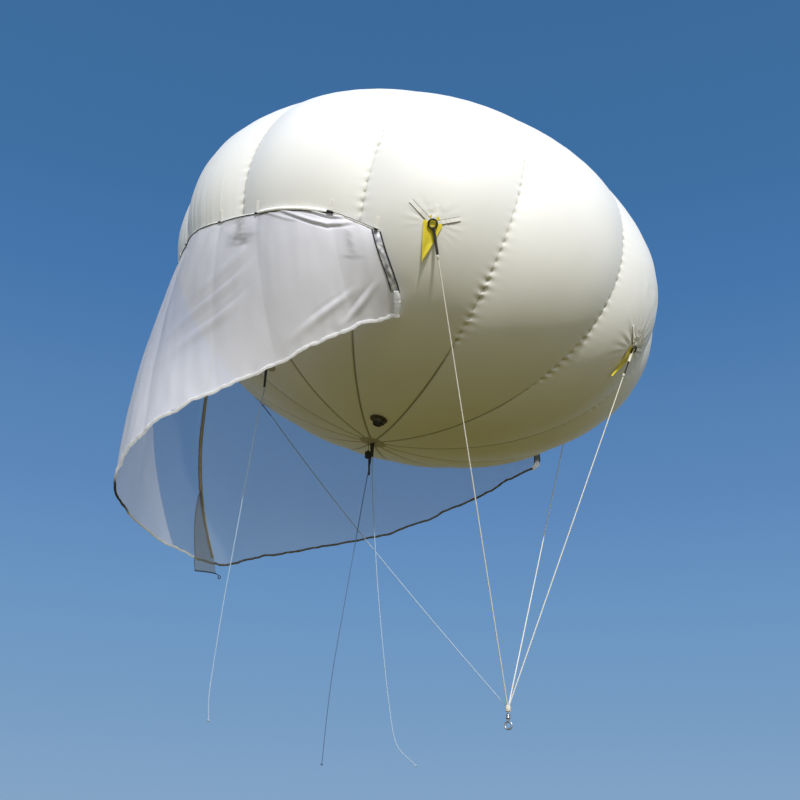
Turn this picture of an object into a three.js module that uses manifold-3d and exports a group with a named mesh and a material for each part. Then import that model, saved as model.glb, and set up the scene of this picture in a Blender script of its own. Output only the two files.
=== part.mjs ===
// A tethered surveillance balloon: an oblate envelope of twelve gores with a cloth skirt
// hung round its lee side, and a four-leg bridle that gathers at a swivel.
// Millimetres, +Z up, +X into the wind. The origin is the centre of the envelope.
import * as THREE from 'three';
import { mergeVertices } from 'three/addons/utils/BufferGeometryUtils.js';
import Module from 'manifold-3d';

const wasm = await Module();
wasm.setup();

// Envelope: half width, half height, gores, wall, and how far the lobes swell between seams.
const RADIUS = 1500;
const HALF_HEIGHT = 1010;
const WALL = 10;
const GORES = 12;
const FIRST_SEAM = 15;
const LOBE_DEPTH = 0.04;
const LOBE_LEVEL = 0.9;
// Towards the crown the lobes flatten to this share of their depth between two latitudes.
const LOBE_TOP = { share: 0.2, from: 5, to: 40 };
const FACETS_AROUND = 48;
const FACETS_ALONG = 24;
// The envelope flies nose up: its top leans this many degrees towards the wind.
const LEAN = 14.5;
// Gap between pieces that touch, and how high thin strips ride over the envelope's facets.
const GAP = 0.3;
const SEAT_GAP = 0.4;
const STRIP_LIFT = 0.9;

// Upper load patches: three webbing legs, a ring, a strap to the bridle leg and a pennant.
const UPPER_LATITUDE = -17.4;
const PAD = { radius: 32, thickness: 4 };
const LEG = { width: 24, thickness: 3, angles: [26, 94, 149], lengths: [137, 96, 154] };
const RING = { radius: 21.5, wire: 4.5 };
const UPPER_STRAP = { width: 14, thickness: 3, length: 124 };
const PENNANT = { width: 97, tip: 5, head: 40, rise: 40, length: 190, thickness: 2.4, droop: 1600 };

// Lower patches: a bonded disc with a strap.
const LOWER_DISC = { radius: 56, thickness: 4 };
const LOWER_STRAP = { width: 15, thickness: 3, length: 142 };

// Pole discs, and the strap and plug that hang under the lower one.
const POLE_DISC = { radius: 79, thickness: 4 };
const POLE_STRAP = { width: 26, thickness: 4, length: 88 };
const PLUG = { radius: 20, height: 46, neck: 7, neckHeight: 8, drop: 62, aside: -9, front: -32 };
const LEASH_RADIUS = 1.5;

// Filler valve, in its own frame: z runs out of the envelope, the hinge pin lies along y.
const VALVE = { azimuth: -60, latitude: -76 };
const FLANGE = { radius: 50, thickness: 4 };
const NECK = { radius: 23, bore: 18, top: 24, floor: 7 };
const CAP = { radius: 27, bottom: 24.8, top: 37, chamfer: 3 };
const HINGE = { x: 33, z: 24, pin: 2.5, bore: 2.9, knuckle: 5.5, halfWidth: 6.4, cheek: 3.5, outer: 10 };

// Bridle: where its legs gather, in front of and below the envelope.
const GATHER = new THREE.Vector3(550, 0, -2545);
const LINE_RADIUS = 3;
const LINE_SAG = 40;
const KNOT = { radius: 15, halfHeight: 20 };
const BARREL = { neck: 5, neckHeight: 8, radius: 11, height: 22, bore: 4.6, boreDepth: 12 };
const EYE = { shank: 4, shankLength: 16, outer: 22, inner: 14, thickness: 8 };

// Skirt: how far round it reaches from the keel, its edges and its ties.
const SKIRT_REACH = 110;
const SKIRT_LATITUDE = -18.5;
const CORNER = { from: 99, latitude: -21.7 };
const SKIRT_WALL = 5;
const SKIRT_COLUMNS = 26;
const SKIRT_ROWS = 8;
const BILLOW = 55;
const BAND = { wall: 8, head: 20, hem: 18, side: 1.7, keel: 0.6 };
const JOIN = 0.6;
const HEAD_LIFT = 4.8;
const TIES = [9, 21, 39, 51, 69, 81, 99, 109];
const TIE_TAB = { width: 22, above: 52, below: 12, thickness: 4, foot: 10, corner: 16 };
const TIE_LEVEL = 0.64;
// Halfway down, the keel's join bows to the right and the free side edges bow outwards.
const KEEL_BOW = 3.1;
const SIDE_BOW = 1.3;
// How the skirt hangs, by degrees round from the keel: the hem's distance from the head, and
// how far the hem stands out from under the head and is carried round it.
const HANG = [
  { around: -110, hang: 475, out: -240, round: -125 },
  { around: -88, hang: 720, out: -270, round: -45 },
  { around: -66, hang: 1015, out: -225, round: 60 },
  { around: -44, hang: 1265, out: -200, round: 95 },
  { around: -22, hang: 1490, out: -150, round: 80 },
  { around: 0, hang: 1670, out: -180, round: 0 },
  { around: 22, hang: 1490, out: 150, round: -40 },
  { around: 44, hang: 1265, out: 135, round: -30 },
  { around: 66, hang: 1015, out: -70, round: 0 },
  { around: 88, hang: 720, out: -270, round: 45 },
  { around: 110, hang: 475, out: -300, round: 70 },
];
const POCKET = { length: 460, width: 130, drop: 70, wall: 5, forward: 44, clear: 2 };
const KEEL_LOOP = { radius: 9, wire: 2.5 };

// Free hand lines, x and z of their points; the two from the lower pole hang in front of the
// bridle's keel leg, the other in a plane of constant y.
const HAND_LINE_RADIUS = 2.5;
const NADIR_LINES_Y = -25;
const HAND_LINE_STEPS = 48;
const HAND_LINES = {
  hand_line_quarter: [[-625, -1060], [-645, -1260], [-695, -1786], [-724, -2098], [-741, -2352],
    [-750, -2551], [-738, -2657]],
  hand_line_nadir_lee: [[-262, -1180], [-325, -1606], [-380, -1993], [-424, -2307],
    [-446, -2560], [-459, -2788]],
  hand_line_nadir_wind: [[-236, -1190], [-182, -1801], [-122, -2271], [-86, -2500],
    [-35, -2706], [70, -2806]],
};

const FINISH = {
  envelope: { color: 0xe9e6da, roughness: 0.42, metalness: 0 },
  cloth: { color: 0xe4e6ec, roughness: 0.75, metalness: 0 },
  edging: { color: 0xf1f1ef, roughness: 0.7, metalness: 0 },
  webbing: { color: 0x2b2924, roughness: 0.8, metalness: 0 },
  tape: { color: 0xeeece4, roughness: 0.6, metalness: 0 },
  pennant: { color: 0xe3c81c, roughness: 0.65, metalness: 0 },
  black: { color: 0x151515, roughness: 0.45, metalness: 0 },
  patch: { color: 0x6f6b46, roughness: 0.6, metalness: 0 },
  rope: { color: 0xe6e3d9, roughness: 0.8, metalness: 0 },
  steel: { color: 0x9b9c9e, roughness: 0.35, metalness: 1 },
};
const materials = {};
for (const [name, values] of Object.entries(FINISH)) {
  materials[name] = new THREE.MeshStandardMaterial(values);
}

const balloon = new THREE.Group();
const leaning = new THREE.Group();
leaning.rotation.y = THREE.MathUtils.degToRad(LEAN);
balloon.add(leaning);

const rad = THREE.MathUtils.degToRad;
const vec = (x, y, z) => new THREE.Vector3(x, y, z);
const UP = vec(0, 0, 1);
const DOWN = vec(0, 0, -1);

// A point or direction of the leaning envelope, in the upright frame.
function upright(v) {
  return v.clone().applyAxisAngle(vec(0, 1, 0), rad(LEAN));
}

// Merge a geometry's vertices, drop its empty triangles and turn its faces out.
function closed(geometry) {
  const plain = geometry.clone();
  plain.deleteAttribute('normal');
  plain.deleteAttribute('uv');
  const merged = mergeVertices(plain, 1e-3);
  const index = merged.index.array;
  const at = (i) => new THREE.Vector3().fromBufferAttribute(merged.attributes.position, i);
  const kept = [];
  let volume = 0;
  for (let i = 0; i < index.length; i += 3) {
    const [a, b, c] = [index[i], index[i + 1], index[i + 2]];
    if (a === b || b === c || c === a) continue;
    kept.push([a, b, c]);
    volume += at(a).dot(at(b).cross(at(c)));
  }
  merged.setIndex(kept.map((face) => (volume < 0 ? face.reverse() : face)).flat());
  return merged;
}

function toSolid(geometry) {
  const merged = closed(geometry);
  const vertProperties = new Float32Array(merged.attributes.position.array);
  const triVerts = new Uint32Array(merged.index.array);
  return new wasm.Manifold(new wasm.Mesh({ numProp: 3, vertProperties, triVerts }));
}

function fromSolid(solid) {
  const mesh = solid.getMesh();
  const geometry = new THREE.BufferGeometry();
  geometry.setAttribute('position', new THREE.BufferAttribute(mesh.vertProperties, 3));
  geometry.setIndex(new THREE.BufferAttribute(mesh.triVerts, 1));
  return geometry;
}

function join(...geometries) {
  return fromSolid(geometries.map(toSolid).reduce((whole, next) => whole.add(next)));
}

function piece(parent, name, geometry, finish) {
  const mesh = new THREE.Mesh(closed(geometry), materials[finish]);
  mesh.name = name;
  parent.add(mesh);
  return mesh;
}

// A box of unit size, bent so that each of its points goes to place(across, along, through).
function bentBox(columns, rows, place) {
  const geometry = new THREE.BoxGeometry(1, 1, 1, columns, rows, 1);
  const position = geometry.attributes.position;
  for (let i = 0; i < position.count; i += 1) {
    const x = position.getX(i) + 0.5;
    const y = position.getY(i) + 0.5;
    const p = place(x, y, position.getZ(i) + 0.5);
    position.setXYZ(i, p.x, p.y, p.z);
  }
  return geometry;
}

// A tube along a curve, with flat ends.
function tube(curve, radius, sides, steps) {
  const section = new THREE.Shape();
  for (let i = 0; i < sides; i += 1) {
    const turn = (2 * Math.PI * i) / sides;
    const [x, y] = [radius * Math.cos(turn), radius * Math.sin(turn)];
    if (i === 0) section.moveTo(x, y);
    else section.lineTo(x, y);
  }
  return new THREE.ExtrudeGeometry(section, { steps, extrudePath: curve, bevelEnabled: false });
}

function rod(from, to, radius, sides = 12) {
  return tube(new THREE.LineCurve3(from, to), radius, sides, 1);
}

// A turned body along z, from radius and height pairs that start and end on the axis.
function turned(profile, sides = 32) {
  const points = profile.map(([r, z]) => new THREE.Vector2(r, z));
  return new THREE.LatheGeometry(points, sides).rotateX(Math.PI / 2);
}

function disc(radius, bottom, top, sides = 32) {
  return turned([[0, bottom], [radius, bottom], [radius, top], [0, top]], sides);
}

// How far the envelope swells at an azimuth, from 0 on a seam to 1 in mid gore.
function swell(azimuth) {
  const gores = (azimuth - FIRST_SEAM) / (360 / GORES);
  const across = gores - Math.floor(gores) - 0.5;
  return 1 - 4 * across * across;
}

function lobeDepth(latitude) {
  const rise = THREE.MathUtils.smoothstep(latitude, LOBE_TOP.from, LOBE_TOP.to);
  return LOBE_DEPTH * (1 - (1 - LOBE_TOP.share) * rise);
}

function lobedBody(inset) {
  const profile = [];
  for (let i = 0; i <= FACETS_ALONG; i += 1) {
    const latitude = rad(-90 + (180 * i) / FACETS_ALONG);
    const onAxis = i === 0 || i === FACETS_ALONG;
    const radius = onAxis ? 0 : (RADIUS - inset) * Math.cos(latitude);
    profile.push([radius, (HALF_HEIGHT - inset) * Math.sin(latitude)]);
  }
  const body = turned(profile, FACETS_AROUND);
  const position = body.attributes.position;
  for (let i = 0; i < position.count; i += 1) {
    const [x, y] = [position.getX(i), position.getY(i)];
    const z = position.getZ(i);
    const azimuth = THREE.MathUtils.radToDeg(Math.atan2(y, x));
    const latitude = THREE.MathUtils.radToDeg(Math.asin(z / (HALF_HEIGHT - inset)));
    const scale = 1 + lobeDepth(latitude) * (swell(azimuth) - LOBE_LEVEL);
    position.setXYZ(i, x * scale, y * scale, z);
  }
  return body;
}

// The faceted outer skin, kept aside so that fittings can be laid on it.
const skin = new THREE.Mesh(closed(lobedBody(0)));
const caster = new THREE.Raycaster();
const CAST_HEIGHT = 150;

// A place on the envelope: east along the equator, north to the crown, out of the skin.
function place(azimuth, latitude) {
  const [phi, psi] = [rad(azimuth), rad(latitude)];
  const ring = RADIUS * Math.cos(psi);
  const base = vec(ring * Math.cos(phi), ring * Math.sin(phi), HALF_HEIGHT * Math.sin(psi));
  const out = vec(base.x / RADIUS ** 2, base.y / RADIUS ** 2, base.z / HALF_HEIGHT ** 2);
  out.normalize();
  const east = vec(-Math.sin(phi), Math.cos(phi), 0);
  const north = out.clone().cross(east);
  // The skin point under (x east, y north), raised by lift.
  const onSkin = (x, y, lift) => {
    const start = base.clone().addScaledVector(east, x).addScaledVector(north, y);
    start.addScaledVector(out, CAST_HEIGHT);
    caster.set(start, out.clone().negate());
    return caster.intersectObject(skin)[0].point.addScaledVector(out, lift);
  };
  return { base, east, north, out, onSkin };
}

// A group whose z = 0 plane lies on the skin's highest point under a flat pad.
function seat(spot, padRadius) {
  let height = -Infinity;
  for (const reach of [0, 0.2, 0.4, 0.6, 0.8, 0.9, 1]) {
    for (let turn = 0; turn < 360; turn += 6) {
      const x = reach * padRadius * Math.cos(rad(turn));
      const y = reach * padRadius * Math.sin(rad(turn));
      height = Math.max(height, spot.onSkin(x, y, 0).sub(spot.base).dot(spot.out));
    }
  }
  const group = new THREE.Group();
  group.position.copy(spot.base).addScaledVector(spot.out, height + SEAT_GAP);
  const basis = new THREE.Matrix4().makeBasis(spot.east, spot.north, spot.out);
  group.quaternion.setFromRotationMatrix(basis);
  leaning.add(group);
  group.updateMatrix();
  return group;
}

function fromSeat(group, x, y, z) {
  return upright(vec(x, y, z).applyMatrix4(group.matrix));
}

// A flat strap between two points; the first end may be cut to lie along a plane.
function strap(start, end, across, size, plane = null) {
  const along = end.clone().sub(start).normalize();
  const width = across.clone().addScaledVector(along, -across.dot(along)).normalize();
  const through = width.clone().cross(along);
  return bentBox(1, 4, (x, y, z) => {
    const p = start.clone().lerp(end, y);
    p.addScaledVector(width, (x - 0.5) * size.width);
    p.addScaledVector(through, (z - 0.5) * size.thickness);
    if (plane && y === 0) {
      const miss = plane.point.clone().sub(p).dot(plane.out) / along.dot(plane.out);
      p.addScaledVector(along, miss);
    }
    return p;
  });
}

// Envelope, with the port for the filler valve cut through it.
const valveSpot = place(VALVE.azimuth, VALVE.latitude);
const valveSeat = seat(valveSpot, FLANGE.radius);
const port = disc(NECK.bore, -60, 60).applyMatrix4(valveSeat.matrix);
const shell = toSolid(lobedBody(0)).subtract(toSolid(lobedBody(WALL))).subtract(toSolid(port));
piece(leaning, 'envelope', fromSolid(shell), 'envelope');

// Pole discs.
const crownSeat = seat(place(0, 90), POLE_DISC.radius);
piece(crownSeat, 'crown_disc', disc(POLE_DISC.radius, 0, POLE_DISC.thickness, 48), 'patch');
const nadirSeat = seat(place(0, -90), POLE_DISC.radius);
piece(nadirSeat, 'nadir_disc', disc(POLE_DISC.radius, 0, POLE_DISC.thickness, 48), 'patch');

// The face of a disc in the upright frame, a touching gap below it.
function faceOf(group, thickness) {
  const point = fromSeat(group, 0, 0, thickness + GAP);
  const out = fromSeat(group, 0, 0, thickness + 1).sub(fromSeat(group, 0, 0, thickness));
  return { point, out };
}

const nadirFace = faceOf(nadirSeat, POLE_DISC.thickness);
const nadirStrapEnd = nadirFace.point.clone().addScaledVector(DOWN, POLE_STRAP.length);
piece(
  balloon,
  'nadir_strap',
  strap(nadirFace.point, nadirStrapEnd, vec(1, 0, 0), POLE_STRAP, nadirFace),
  'webbing',
);

// The plug and its leash hang from the lower pole disc, in front of the strap.
const leashTop = nadirFace.point.clone().add(vec(PLUG.aside, PLUG.front, 0));
leashTop.z += nadirFace.point.clone().sub(leashTop).dot(nadirFace.out) / nadirFace.out.z;
leashTop.z -= 2 * LEASH_RADIUS * Math.sin(rad(LEAN));
const leashEnd = leashTop.clone().addScaledVector(DOWN, PLUG.drop);
piece(balloon, 'plug_leash', rod(leashTop, leashEnd, LEASH_RADIUS, 8), 'webbing');
const plugBody = turned([
  [0, 0],
  [PLUG.neck, 0],
  [PLUG.neck, -PLUG.neckHeight],
  [PLUG.radius - 3, -PLUG.neckHeight],
  [PLUG.radius, -PLUG.neckHeight - 3],
  [PLUG.radius, 3 - PLUG.height],
  [PLUG.radius - 3, -PLUG.height],
  [0, -PLUG.height],
]);
piece(balloon, 'nadir_plug', plugBody, 'black').position.copy(leashEnd).add(vec(0, 0, -GAP));

// Filler valve: a flange with a neck and two hinge cheeks, and a cap on a knuckle.
const neckOuter = turned([
  [0, 0],
  [FLANGE.radius, 0],
  [FLANGE.radius, FLANGE.thickness],
  [NECK.radius, FLANGE.thickness],
  [NECK.radius, NECK.top],
  [NECK.bore, NECK.top],
  [NECK.bore, NECK.floor],
  [0, NECK.floor],
], 32);
function block(x0, x1, y0, y1, z0, z1) {
  const box = new THREE.BoxGeometry(x1 - x0, y1 - y0, z1 - z0);
  return box.translate((x0 + x1) / 2, (y0 + y1) / 2, (z0 + z1) / 2);
}
const cheeks = [-1, 1].map((side) => {
  const [near, far] = [HINGE.halfWidth + 0.6, HINGE.outer].map((y) => side * y);
  return block(
    HINGE.x - HINGE.cheek,
    HINGE.x + HINGE.cheek,
    Math.min(near, far),
    Math.max(near, far),
    FLANGE.thickness - 1,
    HINGE.z + HINGE.cheek,
  );
});
function alongY(radius, halfLength, sides) {
  const cylinder = new THREE.CylinderGeometry(radius, radius, 2 * halfLength, sides);
  return cylinder.translate(HINGE.x, 0, HINGE.z);
}
const pin = alongY(HINGE.pin, HINGE.outer - 0.5, 16);
piece(valveSeat, 'valve_flange', join(neckOuter, ...cheeks, pin), 'black');
const capBody = join(
  turned([
    [0, CAP.bottom],
    [CAP.radius, CAP.bottom],
    [CAP.radius, CAP.top - CAP.chamfer],
    [CAP.radius - CAP.chamfer, CAP.top],
    [0, CAP.top],
  ], 40),
  block(CAP.radius - 8, HINGE.x, -HINGE.halfWidth, HINGE.halfWidth, CAP.bottom, CAP.bottom + 4),
  alongY(HINGE.knuckle, HINGE.halfWidth, 20),
);
const capSolid = toSolid(capBody).subtract(toSolid(alongY(HINGE.bore, 2 * HINGE.outer, 16)));
piece(valveSeat, 'valve_cap', fromSolid(capSolid), 'black');

// The bridle's legs all run to the knot; each ends a touching gap short of it.
function knotEnd(from) {
  const back = from.clone().sub(GATHER).normalize();
  const reach = Math.hypot(Math.hypot(back.x, back.y) / KNOT.radius, back.z / KNOT.halfHeight);
  return GATHER.clone().addScaledVector(back, 1 / reach + 1);
}

// Upper load patches.
const UPPER_PATCHES = { bow: 0, right: -60, left: 60 };
for (const [side, azimuth] of Object.entries(UPPER_PATCHES)) {
  const spot = place(azimuth, UPPER_LATITUDE);
  const group = seat(spot, PAD.radius);
  const pad = disc(PAD.radius, 0, PAD.thickness).applyMatrix4(group.matrix);
  const legs = LEG.angles.map((angle, i) => {
    const [c, s] = [Math.cos(rad(angle)), Math.sin(rad(angle))];
    return bentBox(2, 10, (x, y, z) => {
      const reach = 10 + y * (LEG.lengths[i] - 10);
      const aside = (x - 0.5) * LEG.width;
      const lift = STRIP_LIFT + z * LEG.thickness;
      return spot.onSkin(reach * c - aside * s, reach * s + aside * c, lift);
    });
  });
  piece(leaning, `load_patch_${side}`, join(pad, ...legs), 'tape');

  const pennantLow = PAD.thickness + GAP;
  const pennant = bentBox(2, 10, (x, y, z) => {
    const north = PENNANT.rise - y * (PENNANT.rise + PENNANT.length);
    const narrowed = Math.max(0, north) / PENNANT.rise;
    const tapered = Math.max(0, -north) / PENNANT.length;
    const head = (PENNANT.head - PENNANT.width) * narrowed;
    const width = PENNANT.width + head + (PENNANT.tip - PENNANT.width) * tapered;
    const below = Math.max(0, -north - PAD.radius);
    const fall = below ** 2 / (2 * PENNANT.droop);
    return vec((x - 0.5) * width, north, pennantLow - fall + z * PENNANT.thickness);
  });
  piece(group, `pennant_${side}`, pennant, 'pennant');

  const ringLevel = pennantLow + PENNANT.thickness + GAP + RING.wire;
  const ring = new THREE.TorusGeometry(RING.radius, RING.wire, 8, 20);
  piece(group, `load_ring_${side}`, ring, 'webbing').position.z = ringLevel;

  const centre = fromSeat(group, 0, 0, ringLevel);
  const normal = fromSeat(group, 0, 0, ringLevel + 1).sub(centre);
  const pull = GATHER.clone().sub(centre).normalize();
  const inPlane = pull.clone().addScaledVector(normal, -pull.dot(normal)).normalize();
  const start = centre.clone().addScaledVector(inPlane, RING.radius + RING.wire + GAP);
  const line = GATHER.clone().sub(start).normalize();
  const end = start.clone().addScaledVector(line, UPPER_STRAP.length);
  const strapShape = strap(start, end, normal.clone().cross(pull), UPPER_STRAP);
  piece(balloon, `load_strap_${side}`, strapShape, 'webbing');
  const lineStart = end.clone().addScaledVector(line, GAP);
  piece(balloon, `bridle_leg_${side}`, rod(lineStart, knotEnd(lineStart), LINE_RADIUS, 8), 'rope');
}

// Lower patches: the one on the keel carries the fourth bridle leg.
const LOWER_PATCHES = {
  keel: { azimuth: 180, latitude: -54 },
  quarter_right: { azimuth: -120, latitude: -58 },
  quarter_left: { azimuth: 120, latitude: -58 },
};
const strapEnds = { nadir: nadirStrapEnd };
for (const [side, { azimuth, latitude }] of Object.entries(LOWER_PATCHES)) {
  const group = seat(place(azimuth, latitude), LOWER_DISC.radius);
  const patch = disc(LOWER_DISC.radius, 0, LOWER_DISC.thickness, 36);
  piece(group, `lower_patch_${side}`, patch, 'patch');
  const face = faceOf(group, LOWER_DISC.thickness);
  const loaded = side === 'keel';
  const pull = loaded ? GATHER.clone().sub(face.point).normalize() : DOWN.clone();
  const end = face.point.clone().addScaledVector(pull, LOWER_STRAP.length);
  const across = loaded ? vec(0, 1, 0) : vec(1, 0, 0);
  piece(balloon, `lower_strap_${side}`, strap(face.point, end, across, LOWER_STRAP, face), 'webbing');
  strapEnds[side] = end;
}
const keelLineStart = strapEnds.keel.clone().lerp(GATHER, GAP / strapEnds.keel.distanceTo(GATHER));
const keelLineEnd = knotEnd(keelLineStart);
const keelLineMiddle = keelLineStart.clone().lerp(keelLineEnd, 0.42);
keelLineMiddle.z -= 2 * LINE_SAG;
const keelLine = new THREE.QuadraticBezierCurve3(keelLineStart, keelLineMiddle, keelLineEnd);
piece(balloon, 'bridle_leg_keel', tube(keelLine, LINE_RADIUS, 8, 16), 'rope');

// Gathering knot and swivel.
const knotProfile = [];
for (let i = 0; i <= 10; i += 1) {
  const turn = rad(-90 + 18 * i);
  const radius = i % 10 === 0 ? 0 : KNOT.radius * Math.cos(turn);
  knotProfile.push([radius, KNOT.halfHeight * Math.sin(turn)]);
}
piece(balloon, 'gather_knot', turned(knotProfile, 16), 'rope').position.copy(GATHER);
const barrelTop = GATHER.z - KNOT.halfHeight - GAP;
const barrelBottom = -BARREL.neckHeight - BARREL.height;
const barrel = turned([
  [0, 0],
  [BARREL.neck, 0],
  [BARREL.neck, -BARREL.neckHeight],
  [BARREL.radius, -BARREL.neckHeight],
  [BARREL.radius, barrelBottom],
  [BARREL.bore, barrelBottom],
  [BARREL.bore, barrelBottom + BARREL.boreDepth],
  [0, barrelBottom + BARREL.boreDepth],
]);
piece(balloon, 'swivel_barrel', barrel, 'steel').position.set(GATHER.x, GATHER.y, barrelTop);
const eyeOutline = new THREE.Shape().absarc(0, 0, EYE.outer, 0, 2 * Math.PI);
eyeOutline.holes.push(new THREE.Path().absarc(0, 0, EYE.inner, 0, 2 * Math.PI, true));
const eyePlate = new THREE.ExtrudeGeometry(eyeOutline, {
  depth: EYE.thickness,
  bevelEnabled: false,
  curveSegments: 12,
});
eyePlate.translate(0, 0, -EYE.thickness / 2).rotateX(Math.PI / 2);
const shankTop = barrelTop + barrelBottom + BARREL.boreDepth - 2;
const eyeCentre = barrelTop + barrelBottom - EYE.shankLength / 2 - EYE.outer;
const shank = disc(EYE.shank, eyeCentre + EYE.outer - 4, shankTop, 16);
const eye = join(shank, eyePlate.translate(0, 0, eyeCentre));
piece(balloon, 'swivel_eye', eye, 'steel').position.set(GATHER.x, GATHER.y, 0);

// A smooth value from the hanging table at a place between its rows.
function hanging(column, around) {
  const last = HANG.length - 1;
  const step = HANG[1].around - HANG[0].around;
  const row = THREE.MathUtils.clamp((around - HANG[0].around) / step, 0, last);
  const i = Math.min(Math.floor(row), last - 1);
  const at = (k) => HANG[THREE.MathUtils.clamp(k, 0, last)][column];
  const [a, b, c, d] = [at(i - 1), at(i), at(i + 1), at(i + 2)];
  const t = row - i;
  const slope = (c - a + (2 * a - 5 * b + 4 * c - d + (3 * b - 3 * c + d - a) * t) * t) * t;
  return b + slope / 2;
}

// A point of the skirt's head, which lies on the gores and bridges the seams between them.
function headPoint(around, latitude) {
  const azimuth = 180 + around;
  const spot = place(azimuth, latitude);
  const stretch = 1 + LOBE_DEPTH * (Math.max(swell(azimuth), TIE_LEVEL) - LOBE_LEVEL);
  spot.base.x *= stretch;
  spot.base.y *= stretch;
  return upright(spot.base.addScaledVector(spot.out, HEAD_LIFT));
}

function cornerLatitude(around) {
  const past = Math.max(0, Math.abs(around) - CORNER.from) / (SKIRT_REACH - CORNER.from);
  return SKIRT_LATITUDE + (CORNER.latitude - SKIRT_LATITUDE) * past;
}

// The degrees round of a line of the skirt that has bowed to the side on its way down.
function bowed(line, down) {
  const share = THREE.MathUtils.clamp(down / skirtDrop(line), 0, 1);
  const reach = line / SKIRT_REACH;
  const keel = KEEL_BOW * Math.sin(Math.PI * share ** 1.5) * (1 - Math.abs(reach));
  const side = SIDE_BOW * Math.sin(Math.PI * share ** 2.6) * Math.sign(reach);
  return line + keel + side * Math.abs(reach) ** 10;
}

// A point of the skirt, by degrees round from the keel and millimetres down from the head.
function skirtPoint(line, down) {
  const around = bowed(line, down);
  const head = headPoint(around, cornerLatitude(around));
  const rail = headPoint(around, SKIRT_LATITUDE);
  const hang = hanging('hang', around);
  const azimuth = rad(180 + around);
  const out = upright(vec(Math.cos(azimuth), Math.sin(azimuth), 0)).setZ(0).normalize();
  const round = UP.clone().cross(out);
  const aside = out.clone().multiplyScalar(hanging('out', around));
  aside.addScaledVector(round, hanging('round', around));
  const hem = rail.add(aside);
  hem.z -= Math.sqrt(hang ** 2 - aside.lengthSq());
  const t = down / skirtDrop(around);
  const bend = head.clone().lerp(hem, 0.5).addScaledVector(out, 2 * BILLOW);
  const upper = head.clone().lerp(bend, t);
  return upper.lerp(bend.lerp(hem, t), t);
}

// The skirt's length from head to hem, less what its dropped corners take up.
function skirtDrop(around) {
  const drop = ((SKIRT_LATITUDE - cornerLatitude(around)) * Math.PI * HALF_HEIGHT) / 180;
  return hanging('hang', around) - drop;
}

// A point of the skirt moved inwards, square to its surface.
function insideSkirt(around, down, depth) {
  const east = skirtPoint(around + 0.5, down).sub(skirtPoint(around - 0.5, down));
  const south = skirtPoint(around, down + 5).sub(skirtPoint(around, down - 5));
  return skirtPoint(around, down).addScaledVector(east.cross(south).normalize(), depth);
}

function skirtSheet(stations, start, finish, wall, rows) {
  const columns = stations.length - 1;
  return bentBox(columns, rows, (x, y, z) => {
    const around = stations[Math.round(x * columns)];
    const down = start(around) + (finish(around) - start(around)) * y;
    return insideSkirt(around, down, (z - 0.5) * wall);
  });
}

const belowHead = () => BAND.head + JOIN;
const hemLine = (around) => skirtDrop(around);
const aboveHem = (around) => skirtDrop(around) - JOIN;
const hemFoot = (around) => skirtDrop(around) + BAND.hem;
const degreesOf = (length) => THREE.MathUtils.radToDeg(length / RADIUS);
const middle = degreesOf(JOIN / 2);
for (const [side, sign] of Object.entries({ right: 1, left: -1 })) {
  const keelEdge = BAND.keel + middle;
  const sideEdge = SKIRT_REACH - BAND.side - middle;
  const clothStations = [];
  for (let i = 0; i <= SKIRT_COLUMNS; i += 1) {
    clothStations.push(sign * (keelEdge + ((sideEdge - keelEdge) * i) / SKIRT_COLUMNS));
  }
  const bandStations = [sign * middle, ...clothStations, sign * SKIRT_REACH];
  const edgeStations = [sign * (sideEdge + 2 * middle), sign * SKIRT_REACH];
  const cloth = skirtSheet(clothStations, belowHead, aboveHem, SKIRT_WALL, SKIRT_ROWS);
  piece(balloon, `skirt_${side}`, cloth, 'cloth');
  const hem = skirtSheet(bandStations, hemLine, hemFoot, BAND.wall, 1);
  piece(balloon, `skirt_hem_${side}`, hem, 'edging');
  const edge = skirtSheet(edgeStations, belowHead, aboveHem, BAND.wall, SKIRT_ROWS);
  piece(balloon, `skirt_edge_${side}`, edge, 'edging');
  const head = skirtSheet(bandStations, () => 0, () => BAND.head, BAND.wall, 1);
  const tabs = TIES.map((tie) => {
    const spot = place(180 + sign * tie, cornerLatitude(tie));
    const foot = tie > CORNER.from ? TIE_TAB.corner : TIE_TAB.foot;
    return bentBox(1, 4, (x, y, z) => {
      const north = -TIE_TAB.below + y * (TIE_TAB.above + TIE_TAB.below);
      const thickness = north < 5 ? foot : TIE_TAB.thickness;
      return upright(spot.onSkin((x - 0.5) * TIE_TAB.width, north, STRIP_LIFT + z * thickness));
    });
  });
  piece(balloon, `skirt_head_${side}`, join(head, ...tabs), 'edging');
}
const keelStations = [-BAND.keel, BAND.keel];
const keelBand = skirtSheet(keelStations, belowHead, aboveHem, BAND.wall, SKIRT_ROWS);
piece(balloon, 'keel_band', keelBand, 'edging');

// The keel pocket is a narrow triangle of cloth behind the keel, with a loop at its foot.
const pocketDepth = (BAND.wall + POCKET.wall) / 2 + POCKET.clear;
const pocketFoot = POCKET.length / (POCKET.length + POCKET.drop);
const pocket = bentBox(2, 12, (x, y, z) => {
  const beyond = Math.max(0, (y - pocketFoot) / (1 - pocketFoot));
  const down = hemFoot(0) - POCKET.length * (1 - Math.min(1, y / pocketFoot));
  const width = Math.max(0.06, Math.min(1, y / pocketFoot));
  const around = (x * degreesOf(POCKET.width) - 0.2) * width;
  const p = insideSkirt(around, down, pocketDepth + (z - 0.5) * POCKET.wall);
  return p.add(vec(beyond * POCKET.forward, 0, -beyond * POCKET.drop));
});
piece(balloon, 'keel_pocket', pocket, 'cloth');
const loopCentre = insideSkirt(0, hemFoot(0), pocketDepth);
loopCentre.add(vec(POCKET.forward, 0, -POCKET.drop));
loopCentre.z -= KEEL_LOOP.radius + KEEL_LOOP.wire + GAP;
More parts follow.
